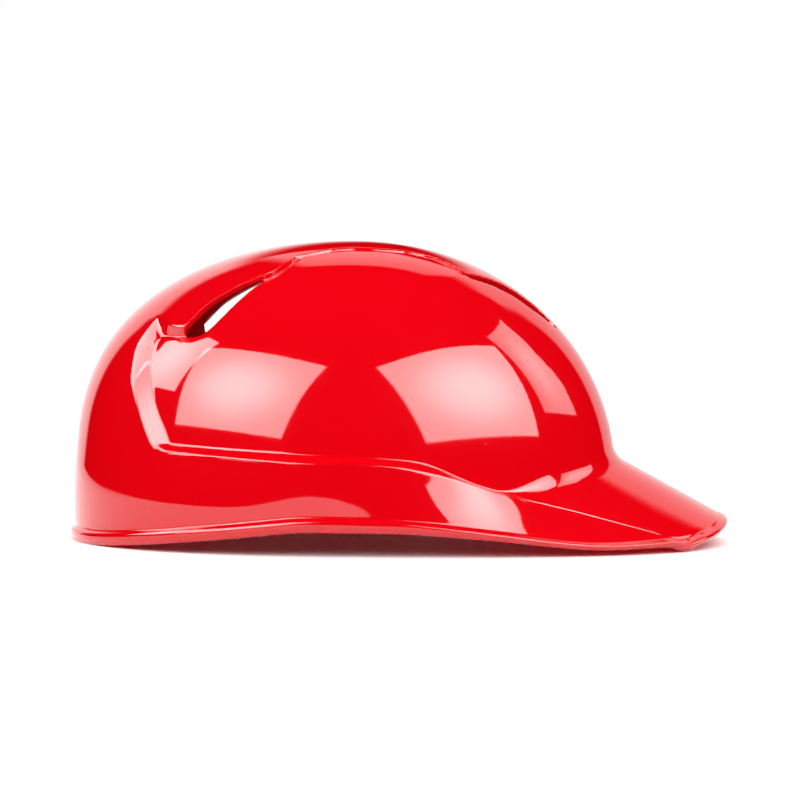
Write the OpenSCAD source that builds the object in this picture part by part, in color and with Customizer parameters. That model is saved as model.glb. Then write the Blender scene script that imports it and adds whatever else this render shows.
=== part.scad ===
// Catcher skull cap: one moulded shell with a short bill, a firm foam liner in
// five sections, and soft fabric-faced comfort pads on hook-and-loop discs.
// +X points forward over the bill, +Z up, and the halves mirror each other in Y.
// The origin lies on the resting surface, below the middle of the object's box.

/* [Shell] */
// Distance from the crown to the back wall of the shell
rear_reach = 123.7; // [122:0.5:126]
// Distance from the crown to the front wall of the shell
front_reach = 120.2; // [118:0.5:122]
// Half width of the dome at its widest
half_width = 96.5; // [95:0.5:98]
// Height of the crown over the resting surface
crown_z = 134; // [132:1:137]
// Thickness of the moulded wall
wall_t = 3; // [2.6:0.1:3.2]
// How deep the side panels lie under the crown strip and the back
panel_depth = 2.8; // [2:0.1:3]

/* [Bill and rim] */
// Distance from the crown to the upper edge of the bill's rim
bill_reach = 165; // [160:0.5:168]
// Half width of the lower band at the ears
band_half_width = 98.5; // [98:0.5:100]
// Height of the rounded rim bead
bead_h = 6.2; // [5.6:0.1:6.6]
// How far the rim bead stands out of the band
bead_out = 2; // [1.5:0.1:2.4]
// How far the bill's corners droop below its edge
corner_droop = 1.9; // [1:0.1:1.9]

/* [Liner and pads] */
// Thickness of the firm foam liner
liner_t = 8; // [6:0.5:9]
// Thickness of the comfort pads
pad_t = 5; // [4:0.5:6]
// Thickness of a hook disc or a loop disc
disc_t = 0.8; // [0.6:0.1:1.2]
// Diameter of the hook-and-loop discs
disc_d = 20; // [14:1:22]
// Clearance between a disc and what it lies on
seat_gap = 0.3; // [0.2:0.05:0.4]
// Clearance between the liner and the shell
liner_gap = 0.8; // [0.7:0.05:0.9]

/* [Hidden] */

// The crown's place, the height where the dome's walls turn vertical, and the
// powers of the plan outlines and of the fall of the front, the sides and the back
crown_x = -22;
dome_z = 19;
plan_power = 2.15;
bill_power = 2.4;
dome_round = 2.05;
front_fall = 2.19;
side_fall = 2.55;
rear_fall = 2.86;
bill_tip_out = 4.5;
corner_a = 31;
top_sink = 0.3;

// Each curve below runs around one half of the shell. Its points are
// [angle, value], with 0 at the middle of the bill and 180 at the middle of the back.

// Height of the rim's lower edge: bill tip, bill corner, front flange, ear arch, back
RIM_Z = [[0, 6.2], [10, 5.3], [16, 4.1], [25, 2.2], [31, 1.9], [36, 2.5], [42, 2.6], [47, 2.3],
    [54, 2.4], [61, 3.9], [72, 7.5], [84, 10.6], [98, 11], [113, 7], [128, 3.6],
    [139, 1.6], [147, 0.5], [153, 0], [180, 0]];

// Height of the bead on that edge, as a share of its full height: it is thin
// along the bill's wing
BEAD_SHARE = [[0, 1.2], [8, 1.15], [14, 1.03], [22, 0.83], [30, 0.65], [37, 0.565], [47, 0.515],
    [57, 0.5], [64, 0.55], [72, 0.66], [78, 0.79], [85, 0.92], [92, 1], [180, 1]];

// Height at which the dome ends: on the bill at the front, on the ledge at the side
JUNCTION_Z = [[0, 38.4], [10, 37.8], [20, 36], [31, 33.8], [42, 31.7], [50, 28.9],
    [58, 26.5], [64, 29.5], [68, 32], [73, 36.7], [78, 40.3], [84, 41.6], [98, 42.9],
    [110, 44.3], [126, 46.3], [180, 46.6]];

// Outer edge of the ledge, as a share of the way from the dome to the rim in plan
LEDGE_PLAN = [[0, 0.9], [29, 0.9], [33, 0.96], [36, 0.95], [39, 0.86], [43, 0.75], [46, 0.62],
    [49, 0.51], [52, 0.46], [56, 0.435], [59, 0.46], [62, 0.505], [65, 0.555], [69, 0.635],
    [72, 0.71], [75, 0.765], [78, 0.815], [81, 0.84], [84, 0.866], [90, 0.87], [124, 0.88],
    [131, 0.5], [180, 0.45]];
// The same edge, as a share of the drop from the dome to the rim
LEDGE_DROP = [[0, 0.9], [29, 0.9], [33, 0.96], [36, 0.985], [39, 0.9], [43, 0.77], [46, 0.64],
    [49, 0.51], [52, 0.42], [56, 0.3], [59, 0.245], [62, 0.26], [65, 0.285], [69, 0.295],
    [72, 0.303], [75, 0.293], [78, 0.258], [81, 0.205], [83, 0.155], [86, 0.11], [90, 0.1],
    [180, 0.105]];

// How far that edge is pulled in, in millimetres, so that the wing leans back
WING_IN = [[0, 0], [36, 0], [44, 1.6], [54, 2.4], [64, 2.4], [72, 1.6], [78, 1], [86, 0], [180, 0]];

// Edge of the crown strip, as a share of the dome's radius in plan. It widens
// in a jump over each of the two vents
STRIP_EDGE = [[0, 0.78], [11, 0.76], [12, 0.68], [13.8, 0.62], [17, 0.58], [25, 0.545],
    [38, 0.515], [39.5, 0.385], [44, 0.357], [55, 0.315], [68, 0.3], [88, 0.285],
    [102, 0.313], [114, 0.39], [116.5, 0.42], [117.5, 0.54], [121, 0.58], [125, 0.63],
    [128.5, 0.69], [131, 0.735], [132.3, 0.795], [133.2, 0.822], [135.2, 0.8225],
    [138, 0.819], [141.4, 0.81], [145.8, 0.798], [149, 0.79], [155, 0.797], [180, 0.82]];
// Upper edge of the side panel, which parts from the strip at the two vents
PANEL_EDGE = [[0, 0.792], [11, 0.775], [13.8, 0.752], [17, 0.704], [20.5, 0.636], [26.5, 0.574],
    [32.5, 0.545], [38, 0.53], [39.5, 0.398], [44, 0.37], [55, 0.327], [68, 0.312],
    [88, 0.297], [102, 0.325], [114, 0.402], [116.5, 0.435], [117.5, 0.555], [121, 0.6],
    [122.5, 0.655], [125, 0.752], [126.5, 0.8], [127.8, 0.82], [129.5, 0.829], [133, 0.834],
    [137.7, 0.837], [141.5, 0.839], [147.5, 0.802], [155, 0.805], [180, 0.828]];
// Width of the lip that is rolled in along that edge
PANEL_LIP = [[0, 0.01], [11, 0.01], [17, 0.02], [34, 0.02], [39.5, 0.01], [117.5, 0.01],
    [121, 0.03], [128.5, 0.028], [132.3, 0.012], [180, 0.01]];

// Angles of the shell's grid lines, which stand closer where an edge turns
GRID = [0, 4, 8, 11, 12, 13.8, 17, 20.5, 24, 28, 31, 34.5, 38, 39.5, 44, 50, 56, 62, 68,
    74, 80, 86, 92, 98, 104, 110, 114, 116.5, 117.5, 119, 121, 122.5, 125, 126.5, 128.5,
    131, 132.3, 137, 141.5, 147.5, 151, 155, 160, 165, 170, 175, 180];
FRONT_VENT = [11, 38];
REAR_VENT = [121, 132.3];
panel_rear = [141.5, 147.5];
panel_rows = 6;
strip_rows = 5;

function mix(a, b, f) = a + (b - a) * f;
function clamp01(v) = min(1, max(0, v));
function smooth01(v) = let (c = clamp01(v)) c * c * (3 - 2 * c);
function power(v, e) = sign(v) * pow(abs(v), e);
function half_turn(a) = let (b = (a + 360) % 360) b > 180 ? 360 - b : b;
function at(table, a) = lookup(half_turn(a), table);

// Shape of the dome: its plan radius g and its height h are shares from 0 to 1
function reach(a) = cos(a) > 0 ? front_reach : rear_reach;
function fall(a) = side_fall + ((cos(a) > 0 ? front_fall : rear_fall) - side_fall) * pow(cos(a), 2);
function radius_at(a, h) = pow(1 - pow(clamp01(h), fall(a)), 1 / dome_round);
function height_at(a, g) = pow(1 - pow(clamp01(g), dome_round), 1 / fall(a));
function height_of(z) = (z - dome_z) / (crown_z - dome_z);
function plan_point(a, front, rear, side, n) = [
    crown_x + (cos(a) > 0 ? front : rear) * power(cos(a), 2 / n),
    side * power(sin(a), 2 / n)];

// Point of the dome at angle a and height h, sunk inward by depth
function dome(a, h, depth) = let (
    g = radius_at(a, h),
    p = plan_point(a, front_reach, rear_reach, half_width, plan_power),
    x = (p.x - crown_x) * g,
    y = p.y * g,
    z = (crown_z - dome_z) * h,
    n = [x / pow(reach(a), 2), y / pow(half_width, 2), max(0, z) / pow(crown_z - dome_z, 2)])
    [crown_x + x, y, dome_z + z] - n * depth / norm(n);

// The panel's back edge leans forward on its way down, and the grid with it
function lean(h) = 17 * pow(clamp01((0.6 - h) / 0.4), 1.1);
function lean_share(b) = b < panel_rear[0] ? 0.92 * smooth01((b - 92) / (panel_rear[0] - 92))
    : b < panel_rear[1] ? mix(0.92, 1, (b - panel_rear[0]) / (panel_rear[1] - panel_rear[0]))
    : 1 - (b - panel_rear[1]) / (180 - panel_rear[1]);
function leaned(a, h) = a > 180 ? 360 - leaned(360 - a, h) : a - lean_share(a) * lean(h);
function low(a) = leaned(a, 0.2);

// How deep the panel lies: full at the sides, none at the back and the forehead,
// and less beside the crown strip
function panel_share(a) = let (b = half_turn(a)) b > panel_rear[0] ? 0 : smooth01((b - 6) / 30);
function panel_sink(a, h) = panel_share(a) * panel_depth * mix(1, top_sink, smooth01((h - 0.7) / 0.22));

// Rows between the ledge and the panel's lip, the lip, and from the strip's edge
// up to the crown. A row follows the jumps of an edge less the further away it is
function mean_at(table, a) = (at(table, a - 12) + at(table, a - 6) + at(table, a)
    + at(table, a + 6) + at(table, a + 12)) / 5;
function follow(foot, middle, edge, f) = mix(foot, middle, f) + (edge - middle) * pow(f, 4);
function junction_h(a) = height_of(at(JUNCTION_Z, low(a)));
function panel_row(a, row, inset) = let (
    h = sin(follow(
        asin(junction_h(a)),
        asin(height_at(a, mean_at(PANEL_EDGE, a) + at(PANEL_LIP, a))),
        asin(height_at(a, at(PANEL_EDGE, a) + at(PANEL_LIP, a))),
        row / panel_rows)))
    dome(leaned(a, h), h, panel_sink(a, h) + inset);
function lip_row(a, inset) = let (h = height_at(a, at(PANEL_EDGE, a)))
    dome(leaned(a, h), h, panel_sink(a, h) + 0.7 * panel_share(a) + inset);
function strip_row(a, row, inset) = let (
    t = follow(0, asin(mean_at(STRIP_EDGE, a)), asin(at(STRIP_EDGE, a)), 1 - row / (strip_rows + 1)))
    dome(a, height_at(a, sin(t)), inset);

// The rim's upper edge, and the ledge's outer edge between the dome and the rim.
// The droop of the bill's corner stays in the rim
function rim_top(a) = let (
    p = plan_point(a, bill_reach, rear_reach, band_half_width, cos(a) > 0 ? bill_power : plan_power))
    [p.x, p.y, at(RIM_Z, a) + rim_bead(a)];
function droop(a) = corner_droop * clamp01(1 - abs(half_turn(a) - corner_a) / 4.5);
function ledge_edge(a, i) = let (t = rim_top(a), share = at(LEDGE_PLAN, a))
    shifted([mix(i.x, t.x, share), mix(i.y, t.y, share), mix(i.z, t.z, at(LEDGE_DROP, a))],
        a, -at(WING_IN, a), 0);

// How much the wall at angle a is bill: 1 at the front and 0 at the side. The wing
// between the ear and the bill is a little hollow
function bill_share(a) = smooth01((62 - half_turn(a)) / 30);
function rim_bead(a) = bead_h * at(BEAD_SHARE, a);
function band_out(a) = let (b = half_turn(a))
    0.5 * (1 - bill_share(a)) - 0.9 * smooth01((b - 38) / 14) * smooth01((92 - b) / 14);
function outward(a) = let (v = [cos(a) / (cos(a) > 0 ? 1.45 : 1.2), sin(a)]) v / norm(v);
function shifted(p, a, out, up) = let (o = outward(a)) [p.x + o.x * out, p.y + o.y * out, p.z + up];

// Outside of the bead at share f of its height below the upper edge
function bead_point(a, f) = let (
    stand = mix(bead_out, bill_tip_out, bill_share(a)),
    round_over = sin(180 * pow(f, 0.8)) * (1 - f / 3) + 0.3 * f)
    shifted(rim_top(a), a, stand * round_over, -rim_bead(a) * f - droop(a));

// All points at angle a, from the resting edge up to the last ring before the crown
function outer_rows(a) = let (
    b = low(a),
    i = panel_row(a, 0, 0),
    o = ledge_edge(b, i),
    t = rim_top(b))
    concat(
        [for (f = [1, 0.75, 0.5, 0.25, 0]) bead_point(b, f)],
        [for (f = [0.35, 0.7]) shifted(mix(t, o, f), b, band_out(b), -droop(b) * (1 - f) / 2)],
        [o, i],
        [for (row = [1 : panel_rows]) panel_row(a, row, 0)],
        [lip_row(a, 0)],
        [for (row = [0 : strip_rows]) strip_row(a, row, 0)]);
function inner_rows(a) = let (
    b = low(a),
    s = bill_share(b),
    ledge = smooth01((132 - half_turn(b)) / 12),
    under = -0.87 * wall_t * s,
    back = mix(-wall_t, -0.48 * wall_t, s),
    i = panel_row(a, 0, 0),
    o = ledge_edge(b, i),
    t = rim_top(b))
    concat(
        [shifted([t.x, t.y, at(RIM_Z, b)], b, back + s, -droop(b)),
         shifted(t, b, back, under - droop(b))],
        [for (f = [0.35, 0.7]) shifted(mix(t, o, f), b, back + band_out(b), under - droop(b) * (1 - f) / 2)],
        [shifted(o, b, back, mix(-0.53 * wall_t * ledge, under, s)),
         shifted(i, b, -wall_t, -0.6 * wall_t * ledge)],
        [for (row = [1 : panel_rows]) panel_row(a, row, wall_t)],
        [lip_row(a, wall_t)],
        [for (row = [0 : strip_rows]) strip_row(a, row, wall_t)]);

function in_vent(a) = let (c = half_turn(a))
    (c > FRONT_VENT[0] && c < FRONT_VENT[1]) || (c > REAR_VENT[0] && c < REAR_VENT[1]);

// The shell: one skin outside, one inside, joined under the rim and around the vents
module shell() {
    turn = concat(GRID, [for (i = [len(GRID) - 2 : -1 : 1]) 360 - GRID[i]]);
    cols = len(turn);
    outs = [for (a = turn) outer_rows(a)];
    ins = [for (a = turn) inner_rows(a)];
    no = len(outs[0]);
    ni = len(ins[0]);
    vent_out = no - strip_rows - 2;
    vent_in = ni - strip_rows - 2;
    base = cols * no;
    crown = base + cols * ni;
    open = [for (c = [0 : cols - 1]) in_vent((turn[c] + (c == cols - 1 ? 360 : turn[c + 1])) / 2)];
    points = concat([for (c = outs) each c], [for (c = ins) each c],
        [[crown_x, 0, crown_z], [crown_x, 0, crown_z - wall_t]]);
    skins = [for (c = [0 : cols - 1]) let (d = (c + 1) % cols, o = c * no, p = d * no,
            i = base + c * ni, j = base + d * ni)
        each [
            for (r = [0 : no - 2]) if (!open[c] || r != vent_out) [o + r, o + r + 1, p + r + 1, p + r],
            for (r = [0 : ni - 2]) if (!open[c] || r != vent_in) [i + r, j + r, j + r + 1, i + r + 1],
            [o, p, j, i],
            [o + no - 1, crown, p + no - 1],
            [i + ni - 1, j + ni - 1, crown + 1]]];
    walls = [for (c = [0 : cols - 1]) let (d = (c + 1) % cols, before = open[(c + cols - 1) % cols],
            o = c * no + vent_out, p = d * no + vent_out,
            i = base + c * ni + vent_in, j = base + d * ni + vent_in)
        each [
            if (open[c]) [o, p, j, i],
            if (open[c]) [o + 1, i + 1, j + 1, p + 1],
            if (open[c] && !before) [o, i, i + 1, o + 1],
            if (!open[c] && before) [o, o + 1, i + 1, i]]];
    color("red") polyhedron(points, concat(skins, walls), convexity = 8);
}

// Where a liner lies: just clear of the shell's inside
function liner_seat(a, h) = panel_sink(a, h) + wall_t + liner_gap;
function pad_seat(a, h) = liner_seat(a, h) + liner_t + 2 * disc_t + 3 * seat_gap;

// A curved block between two angles and two heights, on the dome's inside. Its
// seat is the full size, and its head side is smaller by the round of its edges
module block(a0, a1, h0, h1, seat, thick, na, nh, edge, pad) {
    function spot(i, j, shrink, k) = let (
        ma = shrink * 57.3 / 95,
        mh = shrink / (crown_z - dome_z),
        a = mix(a0 + ma, a1 - ma, i / na),
        h = mix(h0 + mh, h1 - mh, j / nh))
        dome(a, h, (pad ? pad_seat(a, h) : liner_seat(a, h)) + seat + thick * k);
    around = concat([for (i = [0 : na - 1]) [i, 0]], [for (j = [0 : nh - 1]) [na, j]],
        [for (i = [na : -1 : 1]) [i, nh]], [for (j = [nh : -1 : 1]) [0, j]]);
    size = (na + 1) * (nh + 1);
    ring = len(around);
    seat_face = [for (i = [0 : na]) for (j = [0 : nh]) spot(i, j, edge * 0.4, 0)];
    head_face = [for (i = [0 : na]) for (j = [0 : nh]) spot(i, j, edge, 1)];
    sides = [for (k = [0.35, 0.7]) for (q = around) spot(q[0], q[1], k > 0.5 ? edge * 0.2 : 0, k)];
    function cell(i, j) = i * (nh + 1) + j;
    faces = concat(
        [for (i = [0 : na - 1]) for (j = [0 : nh - 1])
            [cell(i, j), cell(i, j + 1), cell(i + 1, j + 1), cell(i + 1, j)]],
        [for (i = [0 : na - 1]) for (j = [0 : nh - 1])
            [size + cell(i, j), size + cell(i + 1, j), size + cell(i + 1, j + 1), size + cell(i, j + 1)]],
        [for (q = [0 : ring - 1]) let (
                r = (q + 1) % ring,
                s0 = cell(around[q][0], around[q][1]),
                s1 = cell(around[r][0], around[r][1]),
                m = 2 * size)
            each [
                [s0, s1, m + r, m + q],
                [m + q, m + r, m + ring + r, m + ring + q],
                [m + ring + q, m + ring + r, size + s1, size + s0]]]);
    polyhedron(concat(seat_face, head_face, sides), faces, convexity = 4);
}

// A round cushion under the crown: rings of the dome out to a share of its radius,
// cut short at the back so that the rear vents stay clear
module crown_block(share, back, seat, thick, rings, cols) {
    turn = [for (c = [0 : cols - 1]) 360 * c / cols];
    function rim(a) = min(share, back / max(0.01, power(max(0, -cos(a)), 2 / plan_power)));
    function spot(a, f, k) = dome(a, height_at(a, rim(a) * f), seat + thick * k);
    steps = concat([for (r = [1 : rings]) [r / rings * 0.97, 0]], [[1, 0.35], [1, 0.7], [0.94, 1]],
        [for (r = [rings - 1 : -1 : 1]) [r / rings * 0.94, 1]]);
    n = len(steps);
    points = concat([for (a = turn) for (s = steps) spot(a, s[0], s[1])], [spot(0, 0, 0), spot(0, 0, 1)]);
    faces = [for (c = [0 : cols - 1]) let (d = (c + 1) % cols)
        each [
            for (r = [0 : n - 2]) [c * n + r, d * n + r, d * n + r + 1, c * n + r + 1],
            [cols * n, d * n, c * n],
            [c * n + n - 1, d * n + n - 1, cols * n + 1]]];
    polyhedron(points, faces, convexity = 4);
}

module on_side(left) {
    if (left) children();
    else mirror([0, 1, 0]) children();
}

// Heights and angles of the liner sections and of the pads on them
front_liner_a = 38;
front_liner_h = [0.22, 0.66];
side_liner_a = [46, 137];
side_liner_h = [0.1, 0.62];
rear_liner_a = 151;
rear_liner_h = [0.04, 0.58];
crown_liner_r = 0.45;
crown_liner_back = 0.31;
brow_a = 27;
brow_h = [0.26, 0.5];
temple_a = [50, 68];
temple_h = [0.18, 0.5];
side_a = [80, 112];
side_h = [0.16, 0.5];
rear_a = [155, 176];
rear_h = [0.1, 0.46];
crown_pad_r = 0.34;
crown_pad_back = 0.26;
crown_seat = wall_t + panel_depth * top_sink + liner_gap;

module front_liner() {
    color("dimgray")
        block(-front_liner_a, front_liner_a, front_liner_h[0], front_liner_h[1], 0, liner_t, 14, 6, 4, false);
}

module side_liner(left) {
    color("dimgray") on_side(left)
        block(side_liner_a[0], side_liner_a[1], side_liner_h[0], side_liner_h[1], 0, liner_t, 16, 6, 4, false);
}

module rear_liner() {
    color("dimgray")
        block(rear_liner_a, 360 - rear_liner_a, rear_liner_h[0], rear_liner_h[1], 0, liner_t, 12, 6, 4, false);
}

module crown_liner() {
    color("dimgray") crown_block(crown_liner_r, crown_liner_back, crown_seat, liner_t, 3, 32);
}

module brow_pad() {
    color("black") block(-brow_a, brow_a, brow_h[0], brow_h[1], 0, pad_t, 12, 4, 4, true);
}

module temple_pad(left) {
    color("black") on_side(left)
        block(temple_a[0], temple_a[1], temple_h[0], temple_h[1], 0, pad_t, 6, 5, 4, true);
}

module side_pad(left) {
    color("black") on_side(left)
        block(side_a[0], side_a[1], side_h[0], side_h[1], 0, pad_t, 8, 5, 4, true);
}

module rear_pad(left) {
    color("black") on_side(left)
        block(rear_a[0], rear_a[1], rear_h[0], rear_h[1], 0, pad_t, 6, 5, 4, true);
}

module crown_pad() {
    color("black")
        crown_block(crown_pad_r, crown_pad_back, crown_seat + liner_t + 2 * disc_t + 3 * seat_gap,
            pad_t, 3, 30);
}

// Hook-and-loop discs between the liner and each pad, as [angle, height]. They bend
// with the liner, so each is a fan of facets around its middle on both faces
DISC_SPOTS = [[16, 0.38], [59, 0.34], [88, 0.33], [104, 0.33], [165, 0.28]];
disc_sides = 16;

module disc_at(a, h, lift) {
    function spot(da, dh, k) = dome(a + da, h + dh, liner_seat(a + da, h + dh) + lift + k);
    along = norm(spot(1, 0, 0) - spot(-1, 0, 0));
    up = norm(spot(0, 0.01, 0) - spot(0, -0.01, 0));
    bent_disc([for (k = [0, disc_t])
        each [
            spot(0, 0, k),
            for (i = [0 : disc_sides - 1]) let (t = 360 * i / disc_sides)
                spot(disc_d * cos(t) / along, 0.01 * disc_d * sin(t) / up, k)]]);
}

// The disc under the crown, where the dome's own angles run together
module crown_disc(depth) {
    bent_disc([for (k = [0, disc_t])
        each [
            [crown_x, 0, crown_z - depth - k],
            for (i = [0 : disc_sides - 1]) let (t = 360 * i / disc_sides)
                dome(t, height_at(t, disc_d / (front_reach + half_width)), depth + k)]]);
}

// Points: the middle and the rim of the outer face, then the same of the inner face
module bent_disc(points) {
    n = disc_sides;
    faces = [for (i = [0 : n - 1]) let (j = (i + 1) % n)
        each [
            [0, 1 + j, 1 + i],
            [n + 1, n + 2 + i, n + 2 + j],
            [1 + i, 1 + j, n + 2 + j, n + 2 + i]]];
    polyhedron(points, faces, convexity = 2);
}

module discs(layer) {
    lift = liner_t + seat_gap + layer * (disc_t + seat_gap);
    for (s = DISC_SPOTS, left = [true, false])
        on_side(left) disc_at(s[0], s[1], lift);
    crown_disc(crown_seat + lift);
}

module hook_discs() {
    color("dimgray") discs(0);
}

module loop_discs() {
    color("black") discs(1);
}

shell();
front_liner();
side_liner(true);  // left_liner
side_liner(false);  // right_liner
rear_liner();
crown_liner();
brow_pad();
temple_pad(true);  // left_temple_pad
temple_pad(false);  // right_temple_pad
side_pad(true);  // left_side_pad
side_pad(false);  // right_side_pad
rear_pad(true);  // left_rear_pad
rear_pad(false);  // right_rear_pad
crown_pad();
hook_discs();
loop_discs();
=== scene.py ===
# %% [markdown]
# A catcher's skull cap
#
# The real cap is one glossy red plastic shell with a short bill. Inside it are five
# sections of firm black foam, and soft fabric-faced pads that lift off on
# hook-and-loop discs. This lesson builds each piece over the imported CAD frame,
# gives it its finish, and lights it as the photo was lit.

# %% Start from the CAD frame
import math
import bmesh
import bpy
import numpy as np
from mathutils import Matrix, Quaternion, Vector
from mathutils.bvhtree import BVHTree


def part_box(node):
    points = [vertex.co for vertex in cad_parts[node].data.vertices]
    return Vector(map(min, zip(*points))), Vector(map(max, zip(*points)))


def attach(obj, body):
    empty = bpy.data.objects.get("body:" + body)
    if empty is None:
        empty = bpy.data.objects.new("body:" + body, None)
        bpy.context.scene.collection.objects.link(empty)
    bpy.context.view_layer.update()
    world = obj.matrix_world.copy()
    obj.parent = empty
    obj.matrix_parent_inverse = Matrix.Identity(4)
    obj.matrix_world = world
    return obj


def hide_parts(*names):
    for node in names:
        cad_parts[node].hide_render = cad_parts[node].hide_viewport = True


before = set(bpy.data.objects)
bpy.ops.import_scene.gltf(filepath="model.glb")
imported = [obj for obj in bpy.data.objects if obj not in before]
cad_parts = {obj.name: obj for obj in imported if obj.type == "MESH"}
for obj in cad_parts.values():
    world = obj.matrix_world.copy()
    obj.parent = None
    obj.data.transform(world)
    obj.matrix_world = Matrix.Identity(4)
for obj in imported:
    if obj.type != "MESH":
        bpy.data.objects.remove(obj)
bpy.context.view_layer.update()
shell_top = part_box("shell")[1][2]

# %% [markdown]
# The driving sizes and curves of the shell
#
# These are the sizes that the CAD source uses, in millimetres. Around the shell, a place
# is given by an angle: 0 is the middle of the bill and 180 the middle of the back. Each
# curve is a short list of points [angle, value]. The CAD joins them with
# straight lines. Here they are softened a little, because gloss shows every kink, and
# the ledge's curves are set a little closer to the fine lines that the photo shows.
# The shell could also be the CAD mesh with a smoothing modifier. But its faces are too
# coarse for mirror-like plastic, so the shell is built again from the same sizes.

# %% Driving sizes
REAR_REACH, FRONT_REACH, HALF_WIDTH = 123.7, 120.2, 96.5    # the dome's plan, from its crown
CROWN_Z, DOME_Z, CROWN_X = 134.0, 19.0, -22.0
WALL, PANEL_DEPTH = 3.0, 2.8
BILL_REACH, BAND_HALF_WIDTH = 165.0, 98.5
BEAD_OUT, BILL_TIP_OUT = 2.0, 4.5
CORNER_DROOP, CORNER_A, TOP_DROOP = 1.9, 31.0, 0.4   # the bead's top takes 0.4 of its droop
PLAN_POWER, BILL_POWER, DOME_ROUND = 2.15, 2.4, 2.05
FRONT_FALL, SIDE_FALL, REAR_FALL = 2.19, 2.55, 2.86
LEAN_MOST, LEAN_FROM = 17, 0.6      # the back edge leans by 17 degrees, below this share of the height
LEAN_START, LEAN_SHARE = 92, 0.92   # the lean begins at this angle, and has this share at the edge
TOP_SINK = 0.3                      # share of the panel's depth that is left at its top
BILL_END, BILL_FADE = 62, 30        # the bill's form fades out over 30 degrees, up to 62
DROOP_REACH = 6.5                   # degrees on both sides of the bill's corner
DOME_H = CROWN_Z - DOME_Z
MM = shell_top / CROWN_Z            # metres in a millimetre, from the frame's own height
print("dome (mm):", REAR_REACH + FRONT_REACH, "long,", 2 * HALF_WIDTH, "wide, crown at", CROWN_Z)

# %% Curves around the shell, as points [angle, value]
RIM_Z = [[0, 6.2], [10, 5.3], [16, 4.1], [25, 2.2], [31, 1.9], [36, 2.5], [42, 2.6], [47, 2.3],
         [54, 2.4], [61, 3.8], [72, 7.1], [84, 10.1], [98, 10.4], [113, 6.6], [128, 3.5],
         [139, 1.6], [147, 0.5], [153, 0], [180, 0]]
BEAD_H = [[0, 7.5], [8, 7.1], [14, 6.4], [22, 5.1], [30, 4.0], [37, 3.5], [47, 3.2], [57, 3.1], [64, 3.4],
          [72, 4.1], [78, 4.9], [85, 5.7], [92, 6.2], [180, 6.2]]
JUNCTION_Z = [[0, 38.4], [10, 37.8], [20, 36], [31, 33.8], [42, 31.7], [50, 28.9],
              [58, 26.5], [64, 30.1], [68, 33.3], [73, 38.1], [78, 41.1], [84, 41.9], [98, 42.9],
              [110, 44.3], [126, 46.3], [180, 46.6]]
LEDGE_PLAN = [[0, 0.97], [29, 0.97], [33, 0.98], [36, 0.965], [39, 0.875], [43, 0.75], [46, 0.62],
              [49, 0.51], [52, 0.46], [56, 0.435], [59, 0.46], [62, 0.505], [65, 0.555], [69, 0.635],
              [72, 0.71], [75, 0.765], [78, 0.815], [81, 0.84], [84, 0.866], [90, 0.87], [180, 0.88]]
LEDGE_DROP = [[0, 0.97], [29, 0.97], [33, 0.98], [36, 0.96], [39, 0.85], [43, 0.71], [46, 0.58],
              [49, 0.445], [52, 0.345], [56, 0.215], [59, 0.155], [62, 0.17], [65, 0.215], [69, 0.25],
              [72, 0.268], [75, 0.263], [78, 0.235], [81, 0.19], [83, 0.15], [86, 0.11], [90, 0.1],
              [180, 0.105]]
WING_IN = [[0, 0], [35, 0], [40, 1.3], [50, 3.0], [56, 4.3], [62, 5.6], [68, 5.5], [74, 4.5],
           [80, 2.7], [86, 1.0], [92, 0], [180, 0]]
STRIP_EDGE = [[0, 0.78], [11, 0.76], [12, 0.68], [13.8, 0.62], [17, 0.58], [25, 0.545],
              [38, 0.515], [39.5, 0.385], [44, 0.357], [55, 0.315], [68, 0.3], [88, 0.285],
              [102, 0.313], [114, 0.39], [116.5, 0.42], [117.5, 0.54], [121, 0.58], [125, 0.63],
              [128.5, 0.69], [131, 0.735], [132.3, 0.795], [133.2, 0.822], [135.2, 0.8225],
              [138, 0.819], [141.4, 0.81], [145.8, 0.798], [149, 0.79], [155, 0.797], [180, 0.82]]
PANEL_EDGE = [[0, 0.792], [11, 0.775], [13.8, 0.752], [17, 0.704], [20.5, 0.636], [26.5, 0.574],
              [32.5, 0.545], [38, 0.53], [39.5, 0.398], [44, 0.37], [55, 0.327], [68, 0.312],
              [88, 0.297], [102, 0.325], [114, 0.402], [116.5, 0.435], [117.5, 0.555], [121, 0.6],
              [122.5, 0.655], [125, 0.752], [126.5, 0.8], [127.8, 0.82], [129.5, 0.829], [133, 0.834],
              [137.7, 0.837], [141.5, 0.839], [147.5, 0.798], [155, 0.8], [180, 0.823]]
PANEL_LIP = [[0, 0.01], [11, 0.01], [17, 0.02], [34, 0.02], [39.5, 0.01], [117.5, 0.01],
             [121, 0.03], [128.5, 0.028], [132.3, 0.012], [180, 0.01]]
FRONT_VENT, REAR_VENT = (11.0, 38.0), (120.4, 133.3)
LIP_ROLL, LIP_W = 1.5, 3.7          # how far the panel's lip turns in along the rear vent, and its width
FLANGE = 2.7                        # how deep the strip's edge turns down in a vent
PANEL_REAR = (141.5, 147.5)          # the bevel behind the side panel
print("rim's lower edge (mm): bill", RIM_Z[0][1], " side", max(z for _, z in RIM_Z), " back", RIM_Z[-1][1])

# %% [markdown]
# A curve is softened by sampling it finely and blurring it with a small bell-shaped
# window. A wide window makes a flowing line, a narrow one keeps a corner crisp. A spline
# through the points could do it too, but it swings past them where they jump.

# %% Softened curves and small helpers
FINE_STEP = 0.05
FINE = np.arange(-90, 271, FINE_STEP)


def clamp01(v):
    return np.clip(v, 0, 1)


def smooth01(v):
    v = clamp01(v)
    return v * v * (3 - 2 * v)


def mix(a, b, f):
    return a + (b - a) * f


def power(v, e):
    return np.sign(v) * np.abs(v) ** e


def half_turn(a):
    b = np.mod(a, 360)
    return np.where(b > 180, 360 - b, b)


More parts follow.
